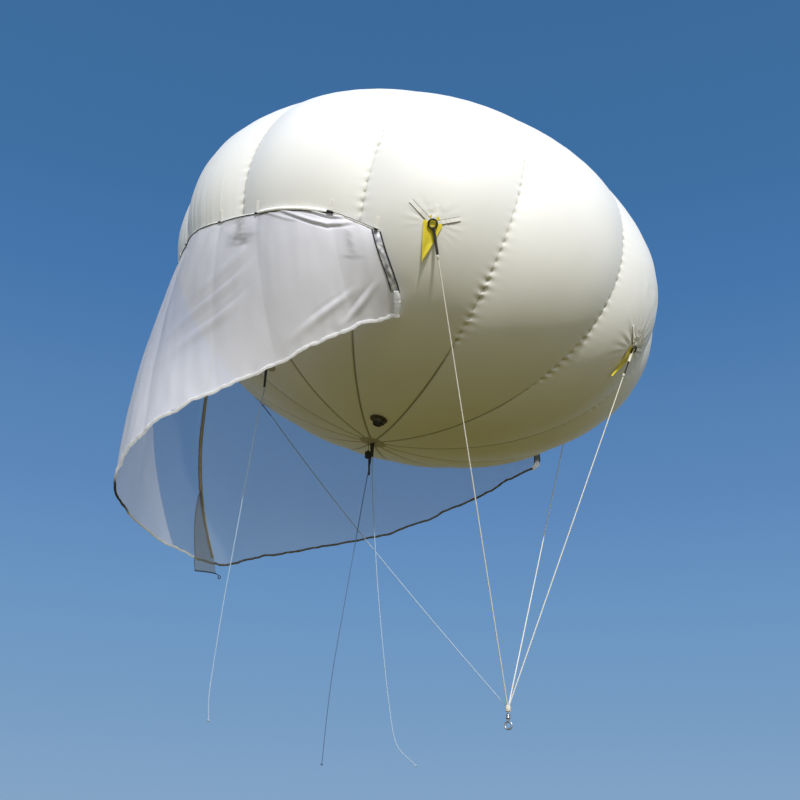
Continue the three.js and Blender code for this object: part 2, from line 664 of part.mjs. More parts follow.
const keelLoop = new THREE.TorusGeometry(KEEL_LOOP.radius, KEEL_LOOP.wire, 6, 16);
piece(balloon, 'keel_loop', keelLoop.rotateX(Math.PI / 2), 'webbing').position.copy(loopCentre);

// Hand lines hang free from the strap under the lower pole and from the right quarter strap.
const HAND_LINE_STARTS = {
  hand_line_quarter: strapEnds.quarter_right.clone(),
  hand_line_nadir_lee: nadirStrapEnd.clone().add(vec(-6, 0, 0)),
  hand_line_nadir_wind: nadirStrapEnd.clone().add(vec(6, 0, 0)),
};
for (const [name, route] of Object.entries(HAND_LINES)) {
  const start = HAND_LINE_STARTS[name].addScaledVector(DOWN, GAP);
  const lead = start.clone().addScaledVector(DOWN, 30);
  const y = name.includes('nadir') ? NADIR_LINES_Y : start.y;
  const points = [start, lead, ...route.map(([x, z]) => vec(x, y, z))];
  const curve = new THREE.CatmullRomCurve3(points, false, 'centripetal');
  piece(balloon, name, tube(curve, HAND_LINE_RADIUS, 8, HAND_LINE_STEPS), 'rope');
}

export default balloon;
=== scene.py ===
import math

import bmesh
import bpy
from mathutils import Matrix, Vector, noise
from mathutils.bvhtree import BVHTree


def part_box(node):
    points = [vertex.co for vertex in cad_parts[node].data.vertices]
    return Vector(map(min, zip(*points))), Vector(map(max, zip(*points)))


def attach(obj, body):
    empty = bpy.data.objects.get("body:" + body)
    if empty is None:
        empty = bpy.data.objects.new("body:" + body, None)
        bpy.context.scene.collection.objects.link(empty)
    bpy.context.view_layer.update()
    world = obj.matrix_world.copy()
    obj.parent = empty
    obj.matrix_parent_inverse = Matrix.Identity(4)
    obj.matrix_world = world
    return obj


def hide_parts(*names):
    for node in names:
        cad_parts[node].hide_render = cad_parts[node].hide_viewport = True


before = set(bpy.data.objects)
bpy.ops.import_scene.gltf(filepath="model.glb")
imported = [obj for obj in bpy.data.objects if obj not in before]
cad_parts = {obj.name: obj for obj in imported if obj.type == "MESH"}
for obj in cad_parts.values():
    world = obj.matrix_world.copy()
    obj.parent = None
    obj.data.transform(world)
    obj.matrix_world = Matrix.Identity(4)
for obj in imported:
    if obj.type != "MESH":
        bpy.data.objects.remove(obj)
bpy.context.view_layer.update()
scene = bpy.context.scene

# The camera stands at floor level and looks steeply up at the balloon.
camera = bpy.data.objects.new("camera", bpy.data.cameras.new("camera"))
camera.data.lens = 45
camera.data.sensor_width = 36
camera.location = (2.1031, -4.9138, -3.3856)
camera.rotation_euler = [math.radians(turn) for turn in (116.322, -1.398, 23.280)]
scene.collection.objects.link(camera)
scene.camera = camera


def linear(colour):
    """An sRGB hex colour as linear red, green, blue and alpha."""
    channels = [int(colour[i : i + 2], 16) / 255 for i in (1, 3, 5)]
    return [c / 12.92 if c <= 0.04045 else ((c + 0.055) / 1.055) ** 2.4 for c in channels] + [1]


def add(tree, kind, inputs=None, **settings):
    """A node of that kind, with its settings and its inputs' values or links."""
    node = tree.nodes.new(kind)
    for name, value in settings.items():
        setattr(node, name, value)
    for socket, value in (inputs or {}).items():
        if isinstance(value, bpy.types.NodeSocket):
            tree.links.new(value, node.inputs[socket])
        else:
            node.inputs[socket].default_value = value
    return node


def shades(tree, factor, stops):
    """A colour that changes through the stops, which are hex colours by position."""
    node = add(tree, "ShaderNodeValToRGB", {"Fac": factor})
    while len(node.color_ramp.elements) < len(stops):
        node.color_ramp.elements.new(0.5)
    for element, (place, colour) in zip(node.color_ramp.elements, sorted(stops.items())):
        element.position = place
        element.color = linear(colour)
    return node.outputs["Color"]


def worked(tree, operation, *values):
    """The result of a sum on values or sockets."""
    return add(tree, "ShaderNodeMath", dict(enumerate(values)), operation=operation).outputs[0]


# Daylight: a low sun to the camera's right, a wide and weak one for the bright haze round it,
# a pale sky, and dull green light from below. What the camera sees behind the balloon is a
# plain blue that pales towards the horizon. Each sun has its height, strength, width and colour.
SKY_BEHIND = {
    0.05: "#86A6C6",
    0.17: "#759BC3",
    0.26: "#6994C1",
    0.35: "#5D87B9",
    0.44: "#537FB2",
    0.53: "#4575AB",
    0.62: "#3F6FA1",
    0.80: "#3A6798",
}
SKY_LIGHT = {
    0.0: "#6B6437",
    0.38: "#736D42",
    0.47: "#8C8C76",
    0.50: "#9CA29E",
    0.56: "#93A5B8",
    1.0: "#6E90C4",
}
SUN_AZIMUTH = -56
SUNS = {
    "sun": (34, 3.4, 2.5, "#FFFBF3"),
    "haze": (18, 0.85, 80, "#FFFCF6"),
}
scene.view_settings.view_transform = "Standard"
world = bpy.data.worlds.new("daylight")
world.use_nodes = True
scene.world = world
sky = world.node_tree
sky.nodes.clear()
direction = add(sky, "ShaderNodeTexCoord").outputs["Generated"]
height = add(sky, "ShaderNodeSeparateXYZ", {"Vector": direction}).outputs["Z"]
half = worked(sky, "MULTIPLY_ADD", height, 0.5, 0.5)
behind = add(sky, "ShaderNodeBackground", {"Color": shades(sky, height, SKY_BEHIND)})
light = add(sky, "ShaderNodeBackground", {"Color": shades(sky, half, SKY_LIGHT)})
seen = add(sky, "ShaderNodeLightPath").outputs["Is Camera Ray"]
both = add(sky, "ShaderNodeMixShader", {0: seen, 1: light.outputs[0], 2: behind.outputs[0]})
add(sky, "ShaderNodeOutputWorld", {"Surface": both.outputs[0]})
for name, (above, strength, width, colour) in SUNS.items():
    sun = bpy.data.objects.new(name, bpy.data.lights.new(name, "SUN"))
    sun.data.energy = strength
    sun.data.angle = math.radians(width)
    sun.data.color = linear(colour)[:3]
    sun.rotation_euler = (math.radians(90 - above), 0, math.radians(90 + SUN_AZIMUTH))
    scene.collection.objects.link(sun)

# The floor is plain and pale. It lies just under the camera and throws no light up.
FLOOR_LEVEL = -3.45
FLOOR_HALF = 60
ground = bmesh.new()
bmesh.ops.create_grid(ground, x_segments=1, y_segments=1, size=FLOOR_HALF)
bmesh.ops.translate(ground, verts=ground.verts, vec=(0, 0, FLOOR_LEVEL))
floor = bpy.data.objects.new("floor", bpy.data.meshes.new("floor"))
ground.to_mesh(floor.data)
ground.free()
scene.collection.objects.link(floor)
floor.visible_diffuse = False
floor.visible_glossy = False


def finish(name, colour, roughness, **inputs):
    """A material with one shader: its tree and the shader, by the finish's name."""
    material = bpy.data.materials.new(name)
    material.use_nodes = True
    shader = material.node_tree.nodes["Principled BSDF"]
    shader.inputs["Base Color"].default_value = linear(colour)
    shader.inputs["Roughness"].default_value = roughness
    for socket, value in inputs.items():
        shader.inputs[socket.replace("_", " ")].default_value = value
    return material, material.node_tree, shader


paving, _, _ = finish("pale floor", "#CFCDC7", 0.9)
floor.data.materials.append(paving)


# Hand lines: 5 mm braided polyester cord that hangs free from the straps under the balloon,
# each stopped with an overhand knot. The braid is two sets of strands that cross. Two of the
# lines are pale blue and one is slate blue. A route is the x and z of its points.
HAND_LINE_RADIUS = 0.0025
NADIR_LINES_Y = -0.025
STOP_KNOT = 0.0055
QUARTER_ROUTE = (
    (-0.625, -1.060),
    (-0.645, -1.260),
    (-0.695, -1.786),
    (-0.724, -2.098),
    (-0.741, -2.352),
    (-0.750, -2.551),
    (-0.738, -2.657),
)
LEE_ROUTE = (
    (-0.262, -1.180),
    (-0.325, -1.606),
    (-0.380, -1.993),
    (-0.424, -2.307),
    (-0.446, -2.560),
    (-0.459, -2.788),
)
WIND_ROUTE = (
    (-0.236, -1.190),
    (-0.182, -1.801),
    (-0.122, -2.271),
    (-0.086, -2.500),
    (-0.035, -2.706),
    (0.070, -2.806),
)
BRAID_PITCH = 0.011
BRAID_STRANDS = 4


def ranged(tree, value, low, high, first=0, last=1):
    """A value carried from between low and high to between first and last."""
    limits = {"Value": value, "From Min": low, "From Max": high, "To Min": first, "To Max": last}
    return add(tree, "ShaderNodeMapRange", limits).outputs["Result"]


def bumped(tree, height, strength, distance, below=None):
    """The normal of a surface raised by a height, over another normal if there is one."""
    inputs = {"Height": height, "Strength": strength, "Distance": distance}
    if below is not None:
        inputs["Normal"] = below
    return add(tree, "ShaderNodeBump", inputs).outputs["Normal"]


def toned(colour, share, plus=0):
    """The hex colour with its channels scaled and raised, up to white."""
    channels = [int(colour[i : i + 2], 16) for i in (1, 3, 5)]
    return "#" + "".join(f"{min(255, int(c * share) + plus):02X}" for c in channels)


def braided(name, colour):
    """Braided cord: its crossing strands stand up, and the valleys between them are darker."""
    material, tree, shader = finish(name, colour, 0.75)
    shader.inputs["Sheen Weight"].default_value = 0.2
    uv = add(tree, "ShaderNodeUVMap").outputs["UV"]
    place = add(tree, "ShaderNodeSeparateXYZ", {"Vector": uv})
    around = worked(tree, "MULTIPLY", place.outputs["Y"], 2 * math.pi * BRAID_STRANDS)
    along = worked(tree, "MULTIPLY", place.outputs["X"], 2 * math.pi / BRAID_PITCH)
    one_way = worked(tree, "SINE", worked(tree, "ADD", along, around))
    other_way = worked(tree, "SINE", worked(tree, "SUBTRACT", along, around))
    weave = worked(tree, "MULTIPLY", one_way, other_way)
    tree.links.new(bumped(tree, weave, 0.8, 0.0006), shader.inputs["Normal"])
    stops = {0.0: toned(colour, 0.84), 1.0: colour}
    strands = shades(tree, ranged(tree, weave, -1, 0.2), stops)
    tree.links.new(strands, shader.inputs["Base Color"])
    return material


white_rope = braided("braided polyester", "#E9E6DB")
pale_rope = braided("pale blue polyester", "#A3BAD4")
slate_rope = braided("slate blue polyester", "#4C6D99")


def flowing(points, steps):
    """Points along a smooth line through the given ones."""
    ends = [2 * points[0] - points[1], *points, 2 * points[-1] - points[-2]]
    line = []
    for before, a, b, after in zip(ends, ends[1:], ends[2:], ends[3:]):
        gaps = [math.sqrt((q - p).length) for p, q in ((before, a), (a, b), (b, after))]
        leave = (a - before) / gaps[0] - (b - before) / (gaps[0] + gaps[1]) + (b - a) / gaps[1]
        arrive = (b - a) / gaps[1] - (after - a) / (gaps[1] + gaps[2]) + (after - b) / gaps[2]
        for k in range(steps):
            t = k / steps
            rise = 3 * t**2 - 2 * t**3
            bend = leave * (t - 2 * t**2 + t**3) + arrive * (t**3 - t**2)
            line.append(a + (b - a) * rise + bend * gaps[1])
    return [*line, points[-1]]


def cordage(name, line, radius, detail=2, sizes=None):
    """A closed tube of cord along a line. Its UV is its length in metres and its turn."""
    curve = bpy.data.curves.new(name, "CURVE")
    curve.dimensions = "3D"
    curve.bevel_depth = radius
    curve.bevel_resolution = detail
    curve.use_fill_caps = True
    spline = curve.splines.new("POLY")
    spline.points.add(len(line) - 1)
    for k, (point, place) in enumerate(zip(spline.points, line)):
        point.co = (*place, 1)
        point.radius = sizes[k] if sizes else 1
    path = bpy.data.objects.new(name + "_path", curve)
    scene.collection.objects.link(path)
    shown = path.evaluated_get(bpy.context.evaluated_depsgraph_get())
    mesh = bpy.data.meshes.new_from_object(shown)
    bpy.data.objects.remove(path)
    reach = sum((b - a).length for a, b in zip(line, line[1:]))
    for loop in mesh.uv_layers[0].data:
        loop.uv[0] *= reach
    mesh.shade_smooth()
    mesh.name = name
    piece = bpy.data.objects.new(name, mesh)
    scene.collection.objects.link(piece)
    return piece


def dress(piece, body, slot, material, *stands_for):
    """Gives a finished piece its material and its body, and hides the parts it stands for; slot is not
    used.
    """
    piece.data.materials.clear()
    piece.data.materials.append(material)
    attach(piece, body)
    if stands_for:
        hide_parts(*stands_for)
    return piece


def overhand(centre, aim, size, radius):
    """The line of an overhand knot, pulled small, that ends along aim."""
    side = aim.orthogonal().normalized()
    other = aim.cross(side)
    line = []
    for k in range(31):
        t = 2 * math.pi * k / 30 - math.pi
        x = math.sin(t) + 2 * math.sin(2 * t)
        y = math.cos(t) - 2 * math.cos(2 * t)
        z = -math.sin(3 * t)
        line.append(centre + (side * x + other * y) * size / 3 + aim * z * radius * 1.1)
    return line


def strap_foot(node):
    """The middle of a hanging strap's lower end."""
    low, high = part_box(node)
    return Vector(((low.x + high.x) / 2, (low.y + high.y) / 2, low.z))


def hand_line(name, top, route, y, rope):
    """One free line from the foot of a strap along its route, with its stopper knot."""
    top = top + Vector((0, 0, -0.0003))
    lead = top + Vector((0, 0, -0.030))
    line = flowing([top, lead, *(Vector((x, y, z)) for x, z in route)], 8)
    piece = dress(cordage(name, line, HAND_LINE_RADIUS), "balloon", "white_rope", rope, name)
    aim = (line[-1] - line[-2]).normalized()
    knot = cordage(name + "_knot", overhand(line[-1], aim, STOP_KNOT, 0.003), 0.002)
    dress(knot, "balloon", "white_rope", rope)


quarter_foot = strap_foot("lower_strap_quarter_right")
nadir_foot = strap_foot("nadir_strap")
lee_foot = nadir_foot + Vector((-0.006, 0, 0))
wind_foot = nadir_foot + Vector((0.006, 0, 0))
hand_line("hand_line_quarter", quarter_foot, QUARTER_ROUTE, quarter_foot.y, pale_rope)
hand_line("hand_line_nadir_lee", lee_foot, LEE_ROUTE, NADIR_LINES_Y, slate_rope)
hand_line("hand_line_nadir_wind", wind_foot, WIND_ROUTE, NADIR_LINES_Y, pale_rope)


# Envelope: twelve gores of coated ripstop nylon, sewn edge to edge and blown up tight. Each
# gore bulges between its seams. The seams lie in narrow grooves underneath, and further up
# the thread gathers them into puckers about 50 mm apart, harder on the two tight seams.
RADIUS = 1.5
HALF_HEIGHT = 1.01
LEAN = Matrix.Rotation(math.radians(14.5), 4, "Y")
GORES = 12
GORE = 360 / GORES
FIRST_SEAM = 15
LOBE_DEPTH = 0.04
LOBE_LEVEL = 0.9
LOBE_TOP = 0.2
COLUMNS = 20
ROWS = 360
SEAM_CROWDING = 4.3
GROOVE_DEPTH = 0.006
GROOVE_WIDTH = 0.0055
PUCKER_DEPTH = 0.0036
PUCKER_PITCH = 0.052
PUCKER_REACH = 0.013
PIT_DEPTH = 0.0024
TIGHT_SEAMS = {10: 1.6, 11: 1.5}
PATCH_LATITUDE = -17.4
PATCH_AZIMUTHS = {"bow": 0, "right": -60, "left": 60}
PATCH_WRINKLES = 0.0028


def ease(value, low, high):
    """0 below low and 1 above high, with a smooth rise between them."""
    t = min(1, max(0, (value - low) / (high - low)))
    return t * t * (3 - 2 * t)


def swell(azimuth):
    """How far a gore bulges, from 0 on its seams to 1 in its middle."""
    across = ((azimuth - FIRST_SEAM) / GORE) % 1 - 0.5
    return 1 - 4 * across * across


def lobe_depth(latitude):
    """How deep the lobes are, which flatten towards the crown."""
    return LOBE_DEPTH * (1 - (1 - LOBE_TOP) * ease(latitude, 5, 40))


def spot(azimuth, latitude):
    """A place on the smooth envelope: its base, and the ways east, north and out of it."""
    phi, psi = math.radians(azimuth), math.radians(latitude)
    ring = RADIUS * math.cos(psi)
    base = Vector((ring * math.cos(phi), ring * math.sin(phi), HALF_HEIGHT * math.sin(psi)))
    out = Vector((base.x / RADIUS**2, base.y / RADIUS**2, base.z / HALF_HEIGHT**2)).normalized()
    east = Vector((-math.sin(phi), math.cos(phi), 0))
    turn = LEAN.to_3x3()
    return turn @ base, turn @ east, turn @ out.cross(east), turn @ out


def meridian(latitude):
    """The length of the envelope's outline from its lower pole to a latitude."""
    steps = 60
    reach = math.radians(latitude + 90)
    total = 0.0
    for k in range(steps):
        psi = reach * (k + 0.5) / steps - math.pi / 2
        total += math.hypot(RADIUS * math.sin(psi), HALF_HEIGHT * math.cos(psi)) * reach / steps
    return total


def seam_relief(seam, latitude, beside, along):
    """How far the fabric beside a seam sinks into its groove and puckers."""
    under = 1 - ease(latitude, -50, -36)
    groove = GROOVE_DEPTH * (0.12 + 0.88 * under) * math.exp(-((beside / GROOVE_WIDTH) ** 2))
    groove *= ease(latitude, -87.4, -86) * (1 - ease(latitude, 86, 87.4))
    force = max(0.15, 0.7 + 1.3 * noise.noise(Vector((seam * 3.1, along * 9, 4))))
    offset = 0.9 if beside < 0 else 0
    phase = 2 * math.pi * along / PUCKER_PITCH
    tight = ease(latitude, -48, -40) * (1 - ease(latitude, -26, -16))
    force *= 1 + TIGHT_SEAMS.get(seam, 0) * tight
    gathered = ease(latitude, -52, -40) * (1 - 0.8 * ease(latitude, 5, 30))
    reach = math.exp(-abs(beside) / PUCKER_REACH)
    pucker = PUCKER_DEPTH * math.cos(phase + offset) * reach
    pit = PIT_DEPTH * max(0, -math.cos(phase)) ** 4 * math.exp(-((beside / 0.007) ** 2))
    return -groove + force * gathered * (pucker - pit)


def patch_relief(azimuth, latitude):
    """The wrinkles that run out from an upper load patch where its line pulls."""
    for centre in PATCH_AZIMUTHS.values():
        turn = (azimuth - centre + 180) % 360 - 180
        if abs(turn) > GORE / 2 or abs(latitude - PATCH_LATITUDE) > 25:
            continue
        east = math.radians(turn) * RADIUS * math.cos(math.radians(latitude))
        north = math.radians(latitude - PATCH_LATITUDE) * 1.07
        reach = math.hypot(east, north)
        angle = math.atan2(north, east)
        rays = math.sin(19 * angle + 3 * noise.noise(Vector((angle * 2, centre, 1))))
        upward = 0.35 + 0.65 * ease(north / max(reach, 1e-6), -0.2, 0.7)
        hard = centre == PATCH_AZIMUTHS["bow"]
        spread = 0.085 if hard else 0.055
        fan = math.exp(-(((reach - 0.075) / spread) ** 2)) * ease(reach, 0.030, 0.055)
        fan *= 1.7 if hard else 1
        crease = math.exp(-((east / 0.007) ** 2)) * ease(reach, 0.06, 0.12)
        crease *= 1 - ease(reach, 0.22, 0.36)
        return PATCH_WRINKLES * (rays * upward * fan - 0.7 * crease)
    return 0.0


bm = bmesh.new()
bmesh.ops.create_circle(bm, segments=2 * ROWS, radius=1)
bmesh.ops.rotate(bm, verts=bm.verts, matrix=Matrix.Rotation(math.radians(90), 3, "X"))
bmesh.ops.delete(bm, geom=[v for v in bm.verts if v.co.x < -1e-6], context="VERTS")
bmesh.ops.spin(
    bm,
    geom=bm.verts[:] + bm.edges[:],
    axis=(0, 0, 1),
    angle=2 * math.pi,
    steps=GORES * COLUMNS,
    use_merge=True,
)
bmesh.ops.remove_doubles(bm, verts=bm.verts, dist=1e-5)


def crowded(across):
    """The share of half a gore that a column's edge lies from its seam, crowded towards it."""
    return math.sinh(SEAM_CROWDING * abs(across)) / math.sinh(SEAM_CROWDING)


for vert in bm.verts:
    ring = math.hypot(vert.co.x, vert.co.y)
    gores = (math.degrees(math.atan2(vert.co.y, vert.co.x)) - FIRST_SEAM) / GORE
    seam = round(gores)
    across = 2 * (gores - seam)
    beside = math.copysign(crowded(across) / 2, across)
    azimuth = math.radians(FIRST_SEAM + GORE * (seam + beside))
    vert.co.x = ring * math.cos(azimuth)
    vert.co.y = ring * math.sin(azimuth)


def own_place(co):
    """The azimuth and latitude of a point of the unit ball, in degrees."""
    latitude = math.degrees(math.asin(max(-1, min(1, co.z))))
    return math.degrees(math.atan2(co.y, co.x)), latitude


def near_patch(edge):
    """True for an edge that runs round the envelope close to an upper load patch."""
    places = [own_place(v.co) for v in edge.verts]
    if abs(places[0][1] - places[1][1]) > 0.1 or abs(places[0][1] - PATCH_LATITUDE) > 20:
        return False
    turns = [abs((places[0][0] - a + 180) % 360 - 180) for a in PATCH_AZIMUTHS.values()]
    others = [abs((places[1][0] - a + 180) % 360 - 180) for a in PATCH_AZIMUTHS.values()]
    return min(max(pair) for pair in zip(turns, others)) < 9


def fabric_point(azimuth, latitude, lift=0):
    """A point of the lobed envelope, raised by lift."""
    ring = RADIUS * math.cos(math.radians(latitude))
    scale = 1 + lobe_depth(latitude) * (swell(azimuth) - LOBE_LEVEL)
    phi = math.radians(azimuth)
    base = Vector((ring * math.cos(phi), ring * math.sin(phi), 0)) * scale
    base.z = HALF_HEIGHT * math.sin(math.radians(latitude))
    out = Vector((base.x / RADIUS**2, base.y / RADIUS**2, base.z / HALF_HEIGHT**2)).normalized()
    return LEAN @ (base + out * lift)


def eased_in(point, azimuth, latitude):
    """The point, laid on the wider columns' flat where the close columns round a patch end."""
    share = ease(abs(latitude - PATCH_LATITUDE), 12, 19.8)
    turns = [(azimuth - centre + 180) % 360 - 180 for centre in PATCH_AZIMUTHS.values()]
    turn = min(turns, key=abs)
    edges = [GORE / 2 * (1 - crowded(1 - 2 * k / COLUMNS)) for k in range(3)]
    if share == 0 or abs(turn) > edges[2]:
        return point
    low, high = (edges[0], edges[1]) if abs(turn) < edges[1] else (edges[1], edges[2])
    side = math.copysign(1, turn)
    ends = [fabric_point(azimuth - turn + side * edge, latitude) for edge in (low, high)]
    return point.lerp(ends[0].lerp(ends[1], (abs(turn) - low) / (high - low)), share)


patch_edges = [edge for edge in bm.edges if near_patch(edge)]
bmesh.ops.subdivide_edges(bm, edges=patch_edges, cuts=7, use_grid_fill=True)
uneven = [face for face in bm.faces if len(face.verts) > 4]
bmesh.ops.triangulate(bm, faces=uneven)
heights = {}
gore_uv = bm.loops.layers.uv.new("gore")
pull_layer = bm.verts.layers.float.new("pull")
placed = {}
for vert in bm.verts:
    azimuth, latitude = own_place(vert.co)
    row = round(latitude, 2)
    if row not in heights:
        heights[row] = meridian(latitude)
    gores = (azimuth - FIRST_SEAM) / GORE
    seam = round(gores)
    ring = RADIUS * math.cos(math.radians(latitude))
    beside = math.radians((gores - seam) * GORE) * ring
    placed[vert.index] = (azimuth, latitude, ring, heights[row])
    around = abs((azimuth + 360) % 360 - 180)
    above = ease(latitude, -19.5, -18) * (1 - ease(latitude, -13, 4))
    vert[pull_layer] = above * (1 - 0.92 * ease(around, 66, 76)) * (1 - ease(around, 106, 112))
    lift = seam_relief(seam % GORES, latitude, beside, heights[row])
    lift += patch_relief(azimuth, latitude)
    point = fabric_point(azimuth, latitude, lift)
    placed[vert.index] += (eased_in(point, azimuth, latitude),)
bm.verts.index_update()
for face in bm.faces:
    middle = own_place(face.calc_center_median().normalized())[0]
    seam = round((middle - FIRST_SEAM) / GORE)
    for loop in face.loops:
        azimuth, _, ring, along, _ = placed[loop.vert.index]
        turn = (azimuth - FIRST_SEAM - seam * GORE + 180) % 360 - 180
        loop[gore_uv].uv = (math.radians(turn) * ring, along)
for vert in bm.verts:
    vert.co = placed[vert.index][4]
bmesh.ops.recalc_face_normals(bm, faces=bm.faces)
skin = BVHTree.FromBMesh(bm)


def new_piece(name, bm):
    """An object of that name with the bmesh as its mesh, shaded smooth."""
    piece = bpy.data.objects.new(name, bpy.data.meshes.new(name))
    bm.to_mesh(piece.data)
    bm.free()
    scene.collection.objects.link(piece)
    piece.data.shade_smooth()
    return piece


def grained(tree, scale, detail):
    """Noise that lies still on the piece."""
    own = add(tree, "ShaderNodeTexCoord").outputs["Object"]
    inputs = {"Vector": own, "Scale": scale, "Detail": detail}
    return add(tree, "ShaderNodeTexNoise", inputs).outputs["Fac"]


def blended(tree, share, first, last):
    """A colour between two others, each a socket or a hex colour."""
    first, last = (linear(c) if isinstance(c, str) else c for c in (first, last))
    return add(tree, "ShaderNodeMix", {0: share, 6: first, 7: last}, data_type="RGBA").outputs[2]


def between(tree, share, first, last):
    """A number between two others, each a socket or a value."""
    return add(tree, "ShaderNodeMix", {0: share, 2: first, 3: last}, data_type="FLOAT").outputs[0]


def ripstop(tree, uv, pitch, width):
    """Where a cloth's thicker threads cross it, by their pitch and width."""
    inputs = {"Vector": uv, "Scale": 1, "Mortar Size": width, "Mortar Smooth": 0.5}
    inputs |= {"Brick Width": pitch, "Row Height": pitch}
    return add(tree, "ShaderNodeTexBrick", inputs, offset=0).outputs["Fac"]


# Coated ripstop nylon: a warm white satin. Thicker threads cross every 5 mm, two rows of
# stitches run beside each seam, and painted shade greys each seam's groove, mostly underneath.
RIPSTOP = 0.005
STITCH_OFFSET = 0.009
STITCH_PITCH = 0.004
STITCH_LENGTH = 0.0027
UNDER_SEAM = (meridian(-52), meridian(-40))
BEADS_END = (meridian(5), meridian(25))
coated, tree, shader = finish("coated ripstop nylon", "#EDEEED", 0.4)
shader.inputs["Specular IOR Level"].default_value = 0.42
uv = add(tree, "ShaderNodeUVMap", uv_map="gore").outputs["UV"]
place = add(tree, "ShaderNodeSeparateXYZ", {"Vector": uv})
along = place.outputs["Y"]
grid = ripstop(tree, uv, RIPSTOP, 0.0004)
cream = shades(tree, grained(tree, 2.2, 4), {0.3: "#E9E9E7", 0.7: "#F0F0EF"})
beside = worked(tree, "ABSOLUTE", place.outputs["X"])
# Painted shade in the seams' grooves: all along them underneath, only at the puckers' pits higher up.
folded = ranged(tree, beside, 0.0035, 0.0075, 1, 0)
wave = worked(tree, "COSINE", worked(tree, "MULTIPLY", along, 2 * math.pi / PUCKER_PITCH))
pits = ranged(tree, wave, -0.55, -0.9)
beads = ranged(tree, along, *BEADS_END, 1, 0)
chance = ranged(tree, grained(tree, 9, 1), 0.42, 0.68, 0.08, 0.62)
pit_shade = worked(tree, "MULTIPLY_ADD", worked(tree, "MULTIPLY", pits, beads), chance, 0.08)
seam_shade = between(tree, ranged(tree, along, *UNDER_SEAM), 0.85, pit_shade)
fabric = blended(tree, worked(tree, "MULTIPLY", folded, seam_shade), cream, "#8F8A70")
on_row = worked(tree, "COMPARE", beside, STITCH_OFFSET, 0.0008)
step = worked(tree, "MODULO", along, STITCH_PITCH)
stitch = worked(tree, "MULTIPLY", on_row, worked(tree, "LESS_THAN", step, STITCH_LENGTH))
tree.links.new(blended(tree, stitch, fabric, "#CFC9B4"), shader.inputs["Base Color"])
stretched = add(tree, "ShaderNodeMapping", {"Vector": uv, "Scale": (26, 1.4, 1)}).outputs[0]
streaks = add(tree, "ShaderNodeTexNoise", {"Vector": stretched, "Scale": 1, "Detail": 2})
pull = add(tree, "ShaderNodeAttribute", attribute_name="pull").outputs["Fac"]
pulled = worked(tree, "MULTIPLY", streaks.outputs["Fac"], pull)
weave = bumped(tree, grid, 0.25, 0.0002, bumped(tree, pulled, 0.36, 0.02))
tree.links.new(bumped(tree, stitch, 0.6, 0.0005, weave), shader.inputs["Normal"])
dress(new_piece("envelope_fabric", bm), "balloon", "envelope_fabric", coated, "envelope")


def laid(place, x, y, lift):
    """The point over x east and y north of a place on the envelope, raised by lift."""
    base, east, north, out = place
    start = base + east * x + north * y + out * 0.15
    return skin.ray_cast(start, -out)[0] + out * lift


def lathe(profile, segments=48, loop=False):
    """A shape turned about +Z from points of radius and height."""
    bm = bmesh.new()
    verts = [bm.verts.new((radius, 0, level)) for radius, level in profile]
    edges = [bm.edges.new(pair) for pair in zip(verts, verts[1:])]
    if loop:
        edges.append(bm.edges.new((verts[-1], verts[0])))
    whole = {"axis": (0, 0, 1), "angle": 2 * math.pi, "steps": segments, "use_merge": True}
    bmesh.ops.spin(bm, geom=verts + edges, **whole)
    bmesh.ops.remove_doubles(bm, verts=bm.verts, dist=1e-6)
    bmesh.ops.recalc_face_normals(bm, faces=bm.faces)
    return bm


def disc_on(name, place, radius, thickness, slot, material, node):
    """A bonded disc that follows the envelope, with a thin rounded rim."""
    rings = [(radius * k / 12, thickness) for k in range(12)]
    rim = [(radius - 0.0006, thickness), (radius, thickness * 0.6), (radius, 0)]
    bm = lathe([*rings, *rim], 72)
    for vert in bm.verts:
        vert.co = laid(place, vert.co.x, vert.co.y, vert.co.z)
    return dress(new_piece(name, bm), "balloon", slot, material, node)


def crossed(tree, place, scale, strength, distance):
    """The normal of a plain weave of crossing threads."""
    inputs = {"Vector": place, "Scale": scale}
    threads = add(tree, "ShaderNodeTexMagic", inputs, turbulence_depth=1).outputs["Fac"]
    return bumped(tree, threads, strength, distance)


# Bonded discs on the poles and on the underside: doubled, heavier cloth that is darker than
# the envelope, mottled by its glue, with a coarse weave.
POLE_DISC_RADIUS = 0.079
LOWER_DISC_RADIUS = 0.056
DISC_THICKNESS = 0.0015
doubled, tree, shader = finish("doubled patch cloth", "#B3AE97", 0.62)
glued = shades(tree, grained(tree, 55, 5), {0.3: "#A7A188", 0.7: "#BBB6A0"})
tree.links.new(glued, shader.inputs["Base Color"])
own = add(tree, "ShaderNodeTexCoord").outputs["Object"]
tree.links.new(crossed(tree, own, 380, 0.2, 0.0003), shader.inputs["Normal"])
LOWER_PLACES = {
    "keel": spot(180, -54),
    "quarter_right": spot(-120, -58),
    "quarter_left": spot(120, -58),
}
pole_form = (POLE_DISC_RADIUS, DISC_THICKNESS)
for node, latitude in {"crown_disc": 90, "nadir_disc": -90}.items():
    place = spot(0, latitude)
    disc_on(node + "_cloth", place, *pole_form, "patch_fabric", doubled, node)
lower_form = (LOWER_DISC_RADIUS, DISC_THICKNESS)
for side, place in LOWER_PLACES.items():
    node = f"lower_patch_{side}"
    disc_on(node + "_cloth", place, *lower_form, "patch_fabric", doubled, node)


